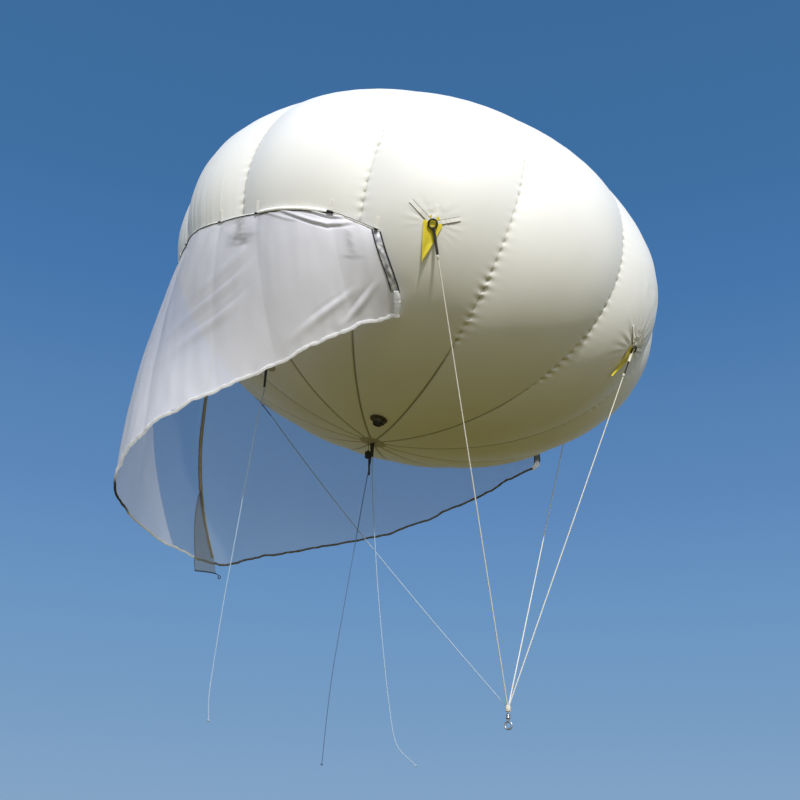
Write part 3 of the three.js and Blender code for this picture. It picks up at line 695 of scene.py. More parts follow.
def sheet(columns, rows, where, relief=None):
    """A grid carried by where(across, down), then raised along its own normals by relief."""
    bm = bmesh.new()
    cloth_uv = bm.loops.layers.uv.new("cloth")
    # Vertex layers for painted shade and for how shut the weave is.
    bm.verts.layers.float.new("painted_shade")
    bm.verts.layers.float.new("shut")
    bmesh.ops.create_grid(bm, x_segments=columns, y_segments=rows, size=0.5)
    shares = {vert: (vert.co.x + 0.5, vert.co.y + 0.5) for vert in bm.verts}
    for vert, share in shares.items():
        vert.co = where(*share)
    bm.normal_update()
    if relief:
        for vert, share in shares.items():
            vert.co += vert.normal * relief(*share)
    return bm, cloth_uv, shares


def band(name, line, across, width, thickness, body, slot, material, *nodes):
    """Webbing of a width and thickness along a line; across gives the way across by place."""
    steps = len(line) - 1
    lengths = [0.0]
    for a, b in zip(line, line[1:]):
        lengths.append(lengths[-1] + (b - a).length)

    def where(u, v):
        k = round(v * steps)
        return line[k] + across(k) * ((u - 0.5) * width(k))

    bm, cloth_uv, shares = sheet(6, steps, where)
    for face in bm.faces:
        for loop in face.loops:
            u, v = shares[loop.vert]
            k = round(v * steps)
            loop[cloth_uv].uv = ((u - 0.5) * width(k), lengths[k])
    piece = new_piece(name, bm)
    solid = piece.modifiers.new("thickness", "SOLIDIFY")
    solid.thickness = thickness
    solid.offset = 0
    rounded = piece.modifiers.new("edges", "BEVEL")
    rounded.width = thickness * 0.3
    rounded.segments = 2
    return dress(piece, body, slot, material, *nodes)


def webbing(name, colour, rib, edge=None):
    """Woven webbing: fine ribs across it, and two edges of another colour if it has any."""
    material, tree, shader = finish(name, colour, 0.72)
    uv = add(tree, "ShaderNodeUVMap", uv_map="cloth").outputs["UV"]
    place = add(tree, "ShaderNodeSeparateXYZ", {"Vector": uv})
    phase = worked(tree, "MULTIPLY", place.outputs["Y"], 2 * math.pi / rib)
    ribs = bumped(tree, worked(tree, "SINE", phase), 0.6, 0.0003)
    tree.links.new(ribs, shader.inputs["Normal"])
    cloth = shades(tree, grained(tree, 60, 4), {0.35: colour, 0.8: toned(colour, 1.15, 6)})
    if edge:
        beside = worked(tree, "ABSOLUTE", place.outputs["X"])
        share = ranged(tree, beside, edge[0] - 0.0006, edge[0] + 0.0006)
        cloth = blended(tree, share, cloth, edge[1])
    tree.links.new(cloth, shader.inputs["Base Color"])
    return material


def middles(node, along, corners):
    """The middles of a strap's or rod's two ends, first and last along a direction."""
    places = {tuple(round(c, 6) for c in v.co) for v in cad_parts[node].data.vertices}
    ordered = sorted((Vector(p) for p in places), key=along.dot)
    first, last = ordered[:corners], ordered[-corners:]
    return sum(first, Vector()) / corners, sum(last, Vector()) / corners


# Straps under the envelope: dark webbing, folded double and sewn, wide where it is sewn to
# its disc and pinched at the foot, where the line is tied through it.
dark_webbing = webbing("dark webbing", "#2B2620", 0.0016)
DOWN = Vector((0, 0, -1))
WINDWARD = Vector((1, 0, 0))
SIDEWAYS = Vector((0, 1, 0))
GATHER = Vector((0.55, 0, -2.545))
KEEL_PULL = (GATHER - Vector((-1.07, 0, -0.57))).normalized()
LOWER_STRAPS = {
    "nadir_strap": (DOWN, WINDWARD, 0.030, 0.018),
    "lower_strap_quarter_right": (DOWN, WINDWARD, 0.020, 0.012),
    "lower_strap_quarter_left": (DOWN, WINDWARD, 0.020, 0.012),
    "lower_strap_keel": (KEEL_PULL, SIDEWAYS, 0.020, 0.012),
}
strap_feet = {}
for node, (along, aside, top_width, foot_width) in LOWER_STRAPS.items():
    top, foot = middles(node, along, 4)
    strap_feet[node] = foot
    through = along.cross(aside).normalized()
    line = [top.lerp(foot, k / 24) for k in range(25)]
    for side in (-1, 1):
        layer = [p + through * side * (0.0009 + 0.0014 * (k / 24) ** 3) for k, p in enumerate(line)]
        nodes = (node,) if side < 0 else ()
        band(
            f"{node}_layer_{'back' if side < 0 else 'front'}",
            layer,
            lambda k: aside,
            lambda k: foot_width + (top_width - foot_width) * (1 - k / 24) ** 1.5,
            0.0012,
            "balloon",
            "dark_webbing",
            dark_webbing,
            *nodes,
        )


def moulded(name, colour, roughness, grain):
    """Moulded or turned hard stuff: a fine grain in its bump and its shine."""
    material, tree, shader = finish(name, colour, roughness)
    fine = grained(tree, grain, 3)
    tree.links.new(bumped(tree, fine, 0.25, 0.0002), shader.inputs["Normal"])
    shine = ranged(tree, fine, 0, 1, roughness - 0.08, roughness + 0.1)
    tree.links.new(shine, shader.inputs["Roughness"])
    return material, tree, shader


# Plug: black rubber with ribs round it and a neck, on a thin leash under the lower pole.
black, _, _ = moulded("black moulded plastic", "#070709", 0.55, 900)
PLUG_PROFILE = (
    (0.000, 0.0000),
    (0.006, 0.0000),
    (0.007, -0.0010),
    (0.007, -0.0080),
    (0.016, -0.0085),
    (0.020, -0.0110),
    (0.020, -0.0160),
    (0.0188, -0.0170),
    (0.0188, -0.0190),
    (0.020, -0.0200),
    (0.020, -0.0260),
    (0.0188, -0.0270),
    (0.0188, -0.0290),
    (0.020, -0.0300),
    (0.020, -0.0425),
    (0.0185, -0.0455),
    (0.000, -0.0460),
)
plug_low, plug_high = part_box("nadir_plug")
plug_top = Vector(((plug_low.x + plug_high.x) / 2, (plug_low.y + plug_high.y) / 2, plug_high.z))
bm = lathe(PLUG_PROFILE, 64)
bmesh.ops.translate(bm, verts=bm.verts, vec=plug_top)
dress(new_piece("nadir_plug_body", bm), "plug", "black_plastic", black, "nadir_plug")
_, leash_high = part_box("plug_leash")
leash_top = Vector((plug_top.x, plug_top.y, leash_high.z))
leash = cordage("plug_leash_cord", [plug_top, leash_top], 0.0015)
black_cord = braided("black braid", "#1C1A17")
dress(leash, "plug", "dark_webbing", black_cord, "plug_leash")


def placed_at(place, origin):
    """The matrix that carries x east, y north and z out of a place to an origin."""
    _, east, north, out = place
    return Matrix.Translation(origin) @ Matrix((east, north, out)).transposed().to_4x4()


def box_of(bm, low, high):
    """Adds a block between two corners, and gives its vertices."""
    block = bmesh.ops.create_cube(bm, size=1)["verts"]
    bmesh.ops.scale(bm, verts=block, vec=Vector(high) - Vector(low))
    bmesh.ops.translate(bm, verts=block, vec=(Vector(low) + Vector(high)) / 2)
    return block


def take_in(bm, part):
    """Moves everything of a second bmesh into the first."""
    mesh = bpy.data.meshes.new("part")
    part.to_mesh(mesh)
    part.free()
    bm.from_mesh(mesh)
    bpy.data.meshes.remove(mesh)


# Filler valve: a moulded flange with eight screws, a neck, and a hinged cap with a grip. The
# flange is a dull dark olive and the cap is black.
VALVE_PLACE = spot(-60, -76)
FLANGE_PROFILE = (
    (0.000, 0.0070),
    (0.018, 0.0070),
    (0.018, 0.0235),
    (0.0185, 0.0240),
    (0.0225, 0.0240),
    (0.0230, 0.0235),
    (0.0230, 0.0048),
    (0.0240, 0.0040),
    (0.0330, 0.0040),
    (0.0335, 0.0034),
    (0.0375, 0.0034),
    (0.0380, 0.0040),
    (0.0485, 0.0040),
    (0.0500, 0.0026),
    (0.0500, 0.0000),
    (0.0000, 0.0000),
)
CAP_PROFILE = (
    (0.0000, 0.0248),
    (0.0262, 0.0248),
    (0.0270, 0.0256),
    (0.0270, 0.0336),
    (0.0258, 0.0358),
    (0.0236, 0.0370),
    (0.0190, 0.0370),
    (0.0180, 0.0360),
    (0.0000, 0.0360),
)
SCREW_PROFILE = (
    (0.0000, 0.0058),
    (0.0030, 0.0056),
    (0.0036, 0.0048),
    (0.0036, 0.0038),
    (0.0000, 0.0038),
)
SCREW_RING = 0.043
out = VALVE_PLACE[3]
low = min(vert.co.dot(out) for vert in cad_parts["valve_flange"].data.vertices)
valve_matrix = placed_at(VALVE_PLACE, VALVE_PLACE[0] + out * (low - VALVE_PLACE[0].dot(out)))
bm = lathe(FLANGE_PROFILE, 72)
for k in range(8):
    turn = math.radians(22.5 + 45 * k)
    screw = lathe(SCREW_PROFILE, 16)
    centre = (SCREW_RING * math.cos(turn), SCREW_RING * math.sin(turn), 0)
    bmesh.ops.translate(screw, verts=screw.verts, vec=centre)
    take_in(bm, screw)
rounding = {"offset": 0.0008, "segments": 2, "affect": "EDGES", "profile": 0.5, "material": -1}
for side in (-1, 1):
    near, far = sorted((side * 0.007, side * 0.010))
    cheek = box_of(bm, (0.0295, near, 0.003), (0.0365, far, 0.0275))
    edges = {edge for vert in cheek for edge in vert.link_edges}
    bmesh.ops.bevel(bm, geom=list(edges), **rounding)
bmesh.ops.transform(bm, matrix=valve_matrix, verts=bm.verts)
olive, _, _ = moulded("dark olive plastic", "#45432F", 0.5, 900)
dress(new_piece("valve_flange_moulding", bm), "balloon", "black_plastic", olive, "valve_flange")
bm = lathe(CAP_PROFILE, 96)
for vert in bm.verts:
    column = round(math.degrees(math.atan2(vert.co.y, vert.co.x)) / 3.75)
    if vert.co.xy.length > 0.0265 and column % 4 < 2:
        vert.co.xy *= 0.965
box_of(bm, (0.019, -0.0062, 0.0248), (0.033, 0.0062, 0.0288))
knuckle = bmesh.ops.create_cone(
    bm, cap_ends=True, segments=24, radius1=0.0053, radius2=0.0053, depth=0.0126
)["verts"]
bmesh.ops.rotate(bm, verts=knuckle, matrix=Matrix.Rotation(math.radians(90), 3, "X"))
bmesh.ops.translate(bm, verts=knuckle, vec=(0.033, 0, 0.024))
bmesh.ops.transform(bm, matrix=valve_matrix, verts=bm.verts)
dress(new_piece("valve_cap_moulding", bm), "cap", "black_plastic", black, "valve_cap")


# Upper load patches: three legs of white webbing with dark edges, laid on the envelope round
# a pad, and a dark ring that a folded strap hangs from, over a yellow cloth pennant.
LEG_WIDTH = 0.024
LEG_LENGTHS = {26: 0.137, 94: 0.096, 149: 0.154}
LEG_START = 0.018
LEG_LIFT = 0.0022
PAD_RADIUS = 0.032
RING_RADIUS = 0.0215
RING_WIRE = 0.0045
RING_LEVEL = 0.0115
PENNANT_WIDTH = 0.097
PENNANT_TIP = 0.005
PENNANT_LENGTH = 0.190
PENNANT_RISE = 0.040
PENNANT_HEAD = 0.040
white_webbing = webbing("white webbing", "#EFEDE6", 0.0018, edge=(0.0098, "#57534A"))
plain_webbing = webbing("plain webbing", "#F1EFE9", 0.0018)
yellow, tree, shader = finish("yellow flag cloth", "#E8D02C", 0.6)
shader.inputs["Sheen Weight"].default_value = 0.25
uv = add(tree, "ShaderNodeUVMap", uv_map="cloth").outputs["UV"]
tree.links.new(crossed(tree, uv, 900, 0.3, 0.0002), shader.inputs["Normal"])
faded = add(tree, "ShaderNodeTexNoise", {"Vector": uv, "Scale": 22, "Detail": 3}).outputs["Fac"]
faded = shades(tree, faded, {0.3: "#E2CB22", 0.7: "#F0E040"})
tree.links.new(faded, shader.inputs["Base Color"])
ring_finish, _, _ = moulded("dark coated ring", "#1D1A14", 0.45, 700)


def pennant_shape(seat_matrix, flutter):
    """The pennant's surface: a kite whose head lies under the legs, hanging off the envelope."""

    def where(u, v):
        north = PENNANT_RISE - v * (PENNANT_RISE + PENNANT_LENGTH)
        rise = max(0, north) / PENNANT_RISE
        width = PENNANT_WIDTH + (PENNANT_HEAD - PENNANT_WIDTH) * rise
        width += (PENNANT_TIP - PENNANT_WIDTH) * max(0, -north) / PENNANT_LENGTH
        below = max(0, -north - PAD_RADIUS)
        wave = flutter * below * math.sin(34 * below + 5 * u)
        level = 0.0047 - 0.0026 * ease(rise, 0, 0.5) - below**2 / 3.2 + wave
        return seat_matrix @ Vector(((u - 0.5) * width, north, level))

    return where


bridle_starts = {}
for side, azimuth in PATCH_AZIMUTHS.items():
    place = spot(azimuth, PATCH_LATITUDE)
    base, east, north, out = place
    pad_name = f"load_patch_{side}"
    disc_on(pad_name + "_pad", place, PAD_RADIUS, 0.0012, "white_tape", plain_webbing, pad_name)
    for angle, length in LEG_LENGTHS.items():
        c, s = math.cos(math.radians(angle)), math.sin(math.radians(angle))
        line = []
        sides = []
        for k in range(29):
            reach = LEG_START + (length - LEG_START) * k / 28
            line.append(laid(place, reach * c, reach * s, LEG_LIFT))
            left = laid(place, reach * c - 0.012 * s, reach * s + 0.012 * c, LEG_LIFT)
            right = laid(place, reach * c + 0.012 * s, reach * s - 0.012 * c, LEG_LIFT)
            sides.append((left - right).normalized())
        band(
            f"{pad_name}_leg_{angle}",
            line,
            lambda k: sides[k],
            lambda k: LEG_WIDTH,
            0.0012,
            "balloon",
            "white_tape",
            plain_webbing if angle == 94 else white_webbing,
        )

    low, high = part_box(f"load_ring_{side}")
    centre = (low + high) / 2
    seat_matrix = placed_at(place, centre - out * RING_LEVEL)
    bm, cloth_uv, shares = sheet(30, 48, pennant_shape(seat_matrix, 0.03))
    for face in bm.faces:
        for loop in face.loops:
            u, v = shares[loop.vert]
            loop[cloth_uv].uv = (u * PENNANT_WIDTH, v * (PENNANT_RISE + PENNANT_LENGTH))
    flag = new_piece(f"pennant_{side}_cloth", bm)
    dress(flag, "balloon", "pennant_cloth", yellow, f"pennant_{side}")
    circle = []
    for k in range(16):
        turn = math.radians(k * 22.5)
        circle.append((RING_RADIUS + RING_WIRE * math.cos(turn), RING_WIRE * math.sin(turn)))
    bm = lathe(circle, 48, loop=True)
    bmesh.ops.transform(bm, matrix=placed_at(place, centre), verts=bm.verts)
    turned = new_piece(f"load_ring_{side}_turned", bm)
    dress(turned, "balloon", "dark_webbing", ring_finish, f"load_ring_{side}")

    strap_node = f"load_strap_{side}"
    pull = (GATHER - centre).normalized()
    top, foot = middles(strap_node, pull, 4)
    along = (foot - top).normalized()
    aside = out.cross(pull).normalized()
    through = aside.cross(along).normalized()
    in_plane = (pull - out * pull.dot(out)).normalized()
    wire = centre + in_plane * RING_RADIUS
    reach = (foot - wire).dot(along)
    line = []
    for k in range(21):
        t = 1 - k / 20
        gap = 0.0009 + 0.0046 * (1 - t) ** 6
        line.append(wire + along * reach * t + through * gap)
    for k in range(1, 12):
        turn = math.pi * k / 12
        line.append(wire + (through * math.cos(turn) - along * math.sin(turn)) * 0.0055)
    for k in range(21):
        t = k / 20
        gap = 0.0009 + 0.0046 * (1 - t) ** 6
        line.append(wire + along * reach * t - through * gap)
    band(
        strap_node + "_webbing",
        line,
        lambda k: aside,
        lambda k: 0.014,
        0.0012,
        "balloon",
        "dark_webbing",
        dark_webbing,
        strap_node,
    )
    if side == "bow":
        half = [wire - along * 0.008 + along * reach * 0.07 * k for k in range(8)]
        lashing = cordage("load_strap_bow_lashing", half, 0.0078)
        dress(lashing, "balloon", "white_rope", white_rope)
    bridle_starts[side] = foot


# Bridle: four taut legs of 6 mm braided rope that gather in one knot. They are held tight at
# both ends, and the leg from the keel sags a little.
LINE_RADIUS = 0.003
LINE_SAG = 0.040
for side, start in bridle_starts.items():
    node = f"bridle_leg_{side}"
    along = (GATHER - start).normalized()
    top, foot = middles(node, along, 8)
    rope = cordage(node + "_rope", [top, foot], LINE_RADIUS)
    dress(rope, "balloon", "white_rope", white_rope, node)
    aside = along.orthogonal().normalized()
    other = along.cross(aside)
    turns = []
    for k in range(37):
        turn = k * math.pi / 6
        around = aside * math.cos(turn) + other * math.sin(turn)
        turns.append(top + along * (0.004 + 0.00035 * k) + around * 0.0052)
    hitch = cordage(node + "_hitch", turns, 0.0024)
    dress(hitch, "balloon", "white_rope", white_rope)
keel_along = (GATHER - strap_feet["lower_strap_keel"]).normalized()
keel_top, keel_foot = middles("bridle_leg_keel", keel_along, 8)
keel_middle = keel_top.lerp(keel_foot, 0.42) + Vector((0, 0, -2 * LINE_SAG))
keel_line = []
for k in range(33):
    t = k / 32
    keel_line.append(keel_top.lerp(keel_middle, t).lerp(keel_middle.lerp(keel_foot, t), t))
keel_rope = cordage("bridle_leg_keel_rope", keel_line, LINE_RADIUS)
dress(keel_rope, "balloon", "white_rope", pale_rope, "bridle_leg_keel")

# Gathering knot: the rope's windings round the legs, close together.
core_profile = []
for k in range(13):
    turn = math.radians(-90 + 15 * k)
    across = 0 if k in (0, 12) else 0.0105 * math.cos(turn)
    core_profile.append((across, 0.0175 * math.sin(turn)))
bm = lathe(core_profile, 32)
bmesh.ops.translate(bm, verts=bm.verts, vec=GATHER)
dress(new_piece("gather_knot_core", bm), "balloon", "white_rope", white_rope, "gather_knot")
winding = []
for k in range(181):
    level = -0.0145 + 0.029 * k / 180
    across = 0.0118 * math.sqrt(1 - (level / 0.0215) ** 2)
    turn = 2 * math.pi * 5 * k / 180
    winding.append(GATHER + Vector((across * math.cos(turn), across * math.sin(turn), level)))
windings = cordage("gather_knot_windings", winding, 0.003)
dress(windings, "balloon", "white_rope", white_rope)

# Swivel: a turned steel barrel under the knot, and an eye that spins in it.
steel, tree, shader = moulded("turned steel", "#B9BBBE", 0.3, 500)
shader.inputs["Metallic"].default_value = 1
BARREL_PROFILE = (
    (0.0000, 0.0000),
    (0.0044, 0.0000),
    (0.0050, -0.0006),
    (0.0050, -0.0080),
    (0.0100, -0.0080),
    (0.0110, -0.0090),
    (0.0110, -0.0150),
    (0.0104, -0.0156),
    (0.0104, -0.0164),
    (0.0110, -0.0170),
    (0.0110, -0.0290),
    (0.0100, -0.0300),
    (0.0046, -0.0300),
    (0.0046, -0.0180),
    (0.0000, -0.0180),
)
EYE_PROFILE = (
    (0.0140, -0.0022),
    (0.0158, -0.0040),
    (0.0202, -0.0040),
    (0.0220, -0.0022),
    (0.0220, 0.0022),
    (0.0202, 0.0040),
    (0.0158, 0.0040),
    (0.0140, 0.0022),
)
SHANK_PROFILE = ((0, 0), (0.0038, 0), (0.0038, -0.0270), (0, -0.0270))
low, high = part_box("swivel_barrel")
bm = lathe(BARREL_PROFILE, 40)
bmesh.ops.translate(bm, verts=bm.verts, vec=(GATHER.x, GATHER.y, high.z))
dress(new_piece("swivel_barrel_turned", bm), "balloon", "steel", steel, "swivel_barrel")
low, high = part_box("swivel_eye")
bm = lathe(EYE_PROFILE, 48, loop=True)
bmesh.ops.rotate(bm, verts=bm.verts, matrix=Matrix.Rotation(math.radians(90), 3, "X"))
bmesh.ops.translate(bm, verts=bm.verts, vec=(GATHER.x, GATHER.y, low.z + 0.022))
shank = lathe(SHANK_PROFILE, 24)
bmesh.ops.translate(shank, verts=shank.verts, vec=(GATHER.x, GATHER.y, high.z))
take_in(bm, shank)
dress(new_piece("swivel_eye_forged", bm), "eye", "steel", steel, "swivel_eye")

# Skirt: two halves of sheer white nylon, hung from the envelope's flank and joined along the
# keel. Its head lies on the gores, and its foot hangs outwards, longest at the keel.
SKIRT_REACH = 110
SKIRT_LATITUDE = -18.5
CORNER_FROM = 99
CORNER_LATITUDE = -21.7
BILLOW = 0.055
DRAWN_AT = 56
HEAD_LIFT = 0.0048
TIES = (9, 21, 39, 51, 69, 81, 99, 109)
TIE_LEVEL = 0.64
KEEL_BOW = 3.1
SIDE_BOW = 1.3
HANG_STEP = 22
HANG = (
    (0.475, -0.240, -0.125),
    (0.720, -0.270, -0.045),
    (1.015, -0.225, 0.060),
    (1.265, -0.200, 0.095),
    (1.490, -0.150, 0.080),
    (1.670, -0.180, 0.000),
    (1.490, 0.150, -0.040),
    (1.265, 0.135, -0.030),
    (1.015, -0.070, 0.000),
    (0.720, -0.270, 0.045),
    (0.475, -0.300, 0.070),
)


def hanging(around):
    """How long the skirt hangs, and how far out and round its foot is, by degrees round."""
    last = len(HANG) - 1
    row = min(last, max(0, (around + SKIRT_REACH) / HANG_STEP))
    i = min(int(row), last - 1)
    t = row - i
    values = []
    for column in range(3):
        a, b, c, d = (HANG[min(last, max(0, k))][column] for k in (i - 1, i, i + 1, i + 2))
        bend = 2 * a - 5 * b + 4 * c - d + (3 * b - 3 * c + d - a) * t
        values.append(b + (c - a + bend * t) * t / 2)
    return values


def head_point(around, latitude):
    """A point of the skirt's head, which bridges the seams between the gores."""
    azimuth = 180 + around
    phi, psi = math.radians(azimuth), math.radians(latitude)
    ring = RADIUS * math.cos(psi)
    base = Vector((ring * math.cos(phi), ring * math.sin(phi), HALF_HEIGHT * math.sin(psi)))
    out = Vector((base.x / RADIUS**2, base.y / RADIUS**2, base.z / HALF_HEIGHT**2)).normalized()
    base.xy *= 1 + LOBE_DEPTH * (max(swell(azimuth), TIE_LEVEL) - LOBE_LEVEL)
    return LEAN @ (base + out * HEAD_LIFT)


def corner_latitude(around):
    """The latitude of the skirt's head, which drops at its two corners."""
    past = max(0, abs(around) - CORNER_FROM) / (SKIRT_REACH - CORNER_FROM)
    return SKIRT_LATITUDE + (CORNER_LATITUDE - SKIRT_LATITUDE) * past


def skirt_drop(around):
    """The skirt's length from head to hem at a place round from the keel."""
    fallen = math.radians(SKIRT_LATITUDE - corner_latitude(around)) * HALF_HEIGHT
    return hanging(around)[0] - fallen


def bowed(line, share):
    """The degrees round of a line of the skirt that has bowed to the side on its way down."""
    share = min(1, max(0, share))
    reach = line / SKIRT_REACH
    keel = KEEL_BOW * math.sin(math.pi * share**1.5) * (1 - abs(reach))
    side = SIDE_BOW * math.sin(math.pi * share**2.6) * math.copysign(1, reach)
    return line + keel + side * abs(reach) ** 10


def skirt_point(around, down):
    """A point of the skirt, by degrees round from the keel and metres down from its head."""
    head = head_point(around, corner_latitude(around))
    rail = head_point(around, SKIRT_LATITUDE)
    hang, outwards, sideways = hanging(around)
    phi = math.radians(180 + around)
    out = LEAN.to_3x3() @ Vector((math.cos(phi), math.sin(phi), 0))
    out.z = 0
    out.normalize()
    aside = out * outwards + Vector((-out.y, out.x, 0)) * sideways
    hem = rail + aside + Vector((0, 0, -math.sqrt(hang**2 - aside.length_squared)))
    t = down / skirt_drop(around)
    billow = BILLOW * (1 - 0.45 * math.exp(-(((around - DRAWN_AT) / 22) ** 2)))
    bend = head.lerp(hem, 0.5) + out * 2 * billow
    return head.lerp(bend, t).lerp(bend.lerp(hem, t), t)


# Folds of the near half, from the tie where each starts to where it dies out: its line by
# degrees round and metres down, its width and its height, which is negative for a valley.
FOLDS = (
    (((82.5, 0.00), (85.5, 0.035), (88.5, 0.065), (92, 0.085)), 0.009, 0.005),
    (
        ((86, 0.00), (89, 0.032), (92, 0.060), (95.3, 0.082), (98, 0.088), (101, 0.062), (104, 0.02)),
        0.013,
        0.010,
    ),
    (
        ((87.9, 0.03), (91.6, 0.070), (95.3, 0.098), (98, 0.108), (101.4, 0.075), (104.5, 0.03)),
        0.008,
        -0.0065,
    ),
    (((93, 0.012), (95.5, 0.024), (98, 0.034), (100.5, 0.024), (102, 0.01)), 0.008, 0.007),
    (((94, 0.028), (97.3, 0.046), (99.4, 0.045), (101.5, 0.03)), 0.006, -0.006),
    (((82, 0.14), (78, 0.225), (74.5, 0.285), (70, 0.360), (64, 0.45), (57, 0.54)), 0.032, 0.008),
    (
        ((80, 0.26), (76.5, 0.350), (72.8, 0.420), (69, 0.483), (65.6, 0.544), (58, 0.65), (48, 0.77)),
        0.034,
        0.011,
    ),
    (((80.5, 0.24), (76.9, 0.320), (73.2, 0.388), (69.1, 0.455), (63, 0.55), (55, 0.66)), 0.015, -0.007),
    (((78, 0.45), (74, 0.535), (71, 0.590), (67, 0.66), (61, 0.75), (53, 0.85)), 0.030, 0.010),
    (((79, 0.41), (74.5, 0.500), (71, 0.562), (66.5, 0.63), (59, 0.73)), 0.013, -0.006),
    (((105, 0.31), (99, 0.440), (95.6, 0.505), (92.5, 0.565), (87, 0.67), (82, 0.75)), 0.021, 0.010),
    (((103, 0.34), (98, 0.448), (94, 0.520), (90, 0.590), (85, 0.68)), 0.012, -0.006),
    (((108, 0.28), (105, 0.360), (102.7, 0.430), (100.2, 0.500), (97, 0.58), (94, 0.64)), 0.015, 0.009),
    (((106.5, 0.30), (103.3, 0.390), (100.8, 0.460), (98, 0.54), (96, 0.59)), 0.009, -0.005),
)
ARC = math.radians(1.43)


def fold_relief(around, down):
    """How far the near half's named folds raise it at a place."""
    lift = 0.0
    if around < 42 or down > 0.95:
        return lift
    x, y = around * ARC, down
    for line, width, height in FOLDS:
        nearest = 1e9
        share = 0.0
        for i, (a, b) in enumerate(zip(line, line[1:])):
            ax, ay, bx, by = a[0] * ARC, a[1], b[0] * ARC, b[1]
            dx, dy = bx - ax, by - ay
            t = min(1, max(0, ((x - ax) * dx + (y - ay) * dy) / (dx * dx + dy * dy)))
            reach = math.hypot(x - ax - dx * t, y - ay - dy * t)
            if reach < nearest:
                nearest = reach
                share = (i + t) / (len(line) - 1)
        hooked = line[0][1] < 0.05
        fade = math.sin(math.pi * min(1, max(0, 0.08 + 0.92 * share))) ** 0.6 if hooked else 1
        fade *= 1 if hooked else ease(share, -0.05, 0.4) * (1 - ease(share, 0.5, 1))
        lift += height * fade * math.exp(-((nearest / width) ** 2))
    return lift


def skirt_relief(around, down, share):
    """How far the cloth stands out of its smooth sheet: folds, ties' pulls and hem scallops."""
    lift = fold_relief(around, down) if around > 0 else 0.0
    x = around * ARC
    slack = ease(share, 0.0, 0.15) * 0.004
    lift += slack * noise.noise(Vector((x * 5, down * 2.2 + x * 2, 3)))
    lift += 0.0025 * noise.noise(Vector((x * 16, down * 6 + x * 5, 8)))
    for tie in TIES:
        near = (abs(around) - tie) * ARC
        reach = math.exp(-((near / (0.012 + 0.3 * down)) ** 2)) * math.exp(-down / 0.08)
        lift -= 0.004 * reach
    foot = ease(share, 0.9, 1.0)
    lift += foot * 0.006 * noise.noise(Vector((x * 13, 0, 5)))
    return lift


def skirt_normal(around, down):
    """The way out of the skirt at a place."""
    east = skirt_point(around + 0.4, down) - skirt_point(around - 0.4, down)
    south = skirt_point(around, down + 0.004) - skirt_point(around, down - 0.004)
    return south.cross(east).normalized()


def skirt_cloth_point(around, down, depth=0.0):
    """A point on the folded cloth, moved out by depth."""
    share = down / skirt_drop(around)
    lift = skirt_relief(around, down, share) + depth
    return skirt_point(around, down) + skirt_normal(around, down) * lift


# Sheer spinnaker nylon, partly open between its threads, that a low sun shines through.
# Thicker threads cross every 6 mm. Past a slanting line beside the keel the right half is
# whiter and tighter. Painted shade darkens the right half where it lies against the envelope's
# seams, in its middle, and on the sunlit cloth beside the keel.
THREADS = 0.006
SHUT_GLOW = 0.18


def sheer_nylon(name, colour, openness, glow):
    """Sheer nylon, by how much of it is open and how much of its light comes through it."""
    material, tree, shader = finish(name, colour, 0.5)
    uv = add(tree, "ShaderNodeUVMap", uv_map="cloth").outputs["UV"]
    grid = ripstop(tree, uv, THREADS, 0.0005)
    tree.links.new(bumped(tree, grid, 0.3, 0.0002), shader.inputs["Normal"])
    shut = add(tree, "ShaderNodeAttribute", attribute_name="shut").outputs["Fac"]
    shut_share = ranged(tree, shut, 0, 0.3)
    painted_shade = add(tree, "ShaderNodeAttribute", attribute_name="painted_shade").outputs["Fac"]
    # Painted shade: where the vertex layer says, the colour is darkened towards #4E4C4E.
    tint = blended(tree, painted_shade, blended(tree, shut_share, colour, "#E8E8F3"), "#4E4C4E")
    tree.links.new(tint, shader.inputs["Base Color"])
    through = add(tree, "ShaderNodeBsdfTranslucent", {"Color": tint})
    glowing = between(tree, shut_share, glow, SHUT_GLOW)
    lit = {0: glowing, 1: shader.outputs["BSDF"], 2: through.outputs[0]}
    threads = add(tree, "ShaderNodeMixShader", lit)
    opening = add(tree, "ShaderNodeBsdfTransparent", {"Color": (1, 1, 1, 1)})
    cover = ranged(tree, grid, 0, 1, 1 - openness, 1 - openness * 0.35)
    cover = between(tree, shut, cover, 1.0)
    woven = {0: cover, 1: opening.outputs[0], 2: threads.outputs[0]}
    cloth = add(tree, "ShaderNodeMixShader", woven)
    tree.links.new(cloth.outputs[0], tree.nodes["Material Output"].inputs["Surface"])
    return material


def shone_through(tree, shader, colour, share):
    """Lets a share of the light through a thin white cloth, in its own colour."""
    through = add(tree, "ShaderNodeBsdfTranslucent", {"Color": colour})
    mix = {0: share, 1: shader.outputs["BSDF"], 2: through.outputs[0]}
    both = add(tree, "ShaderNodeMixShader", mix)
    tree.links.new(both.outputs[0], tree.nodes["Material Output"].inputs["Surface"])


skirt_nylon = sheer_nylon("sheer nylon", "#C6C9D3", 0.74, 0.08)
pocket_nylon = sheer_nylon("doubled sheer nylon", "#85847B", 0.45, 0.10)
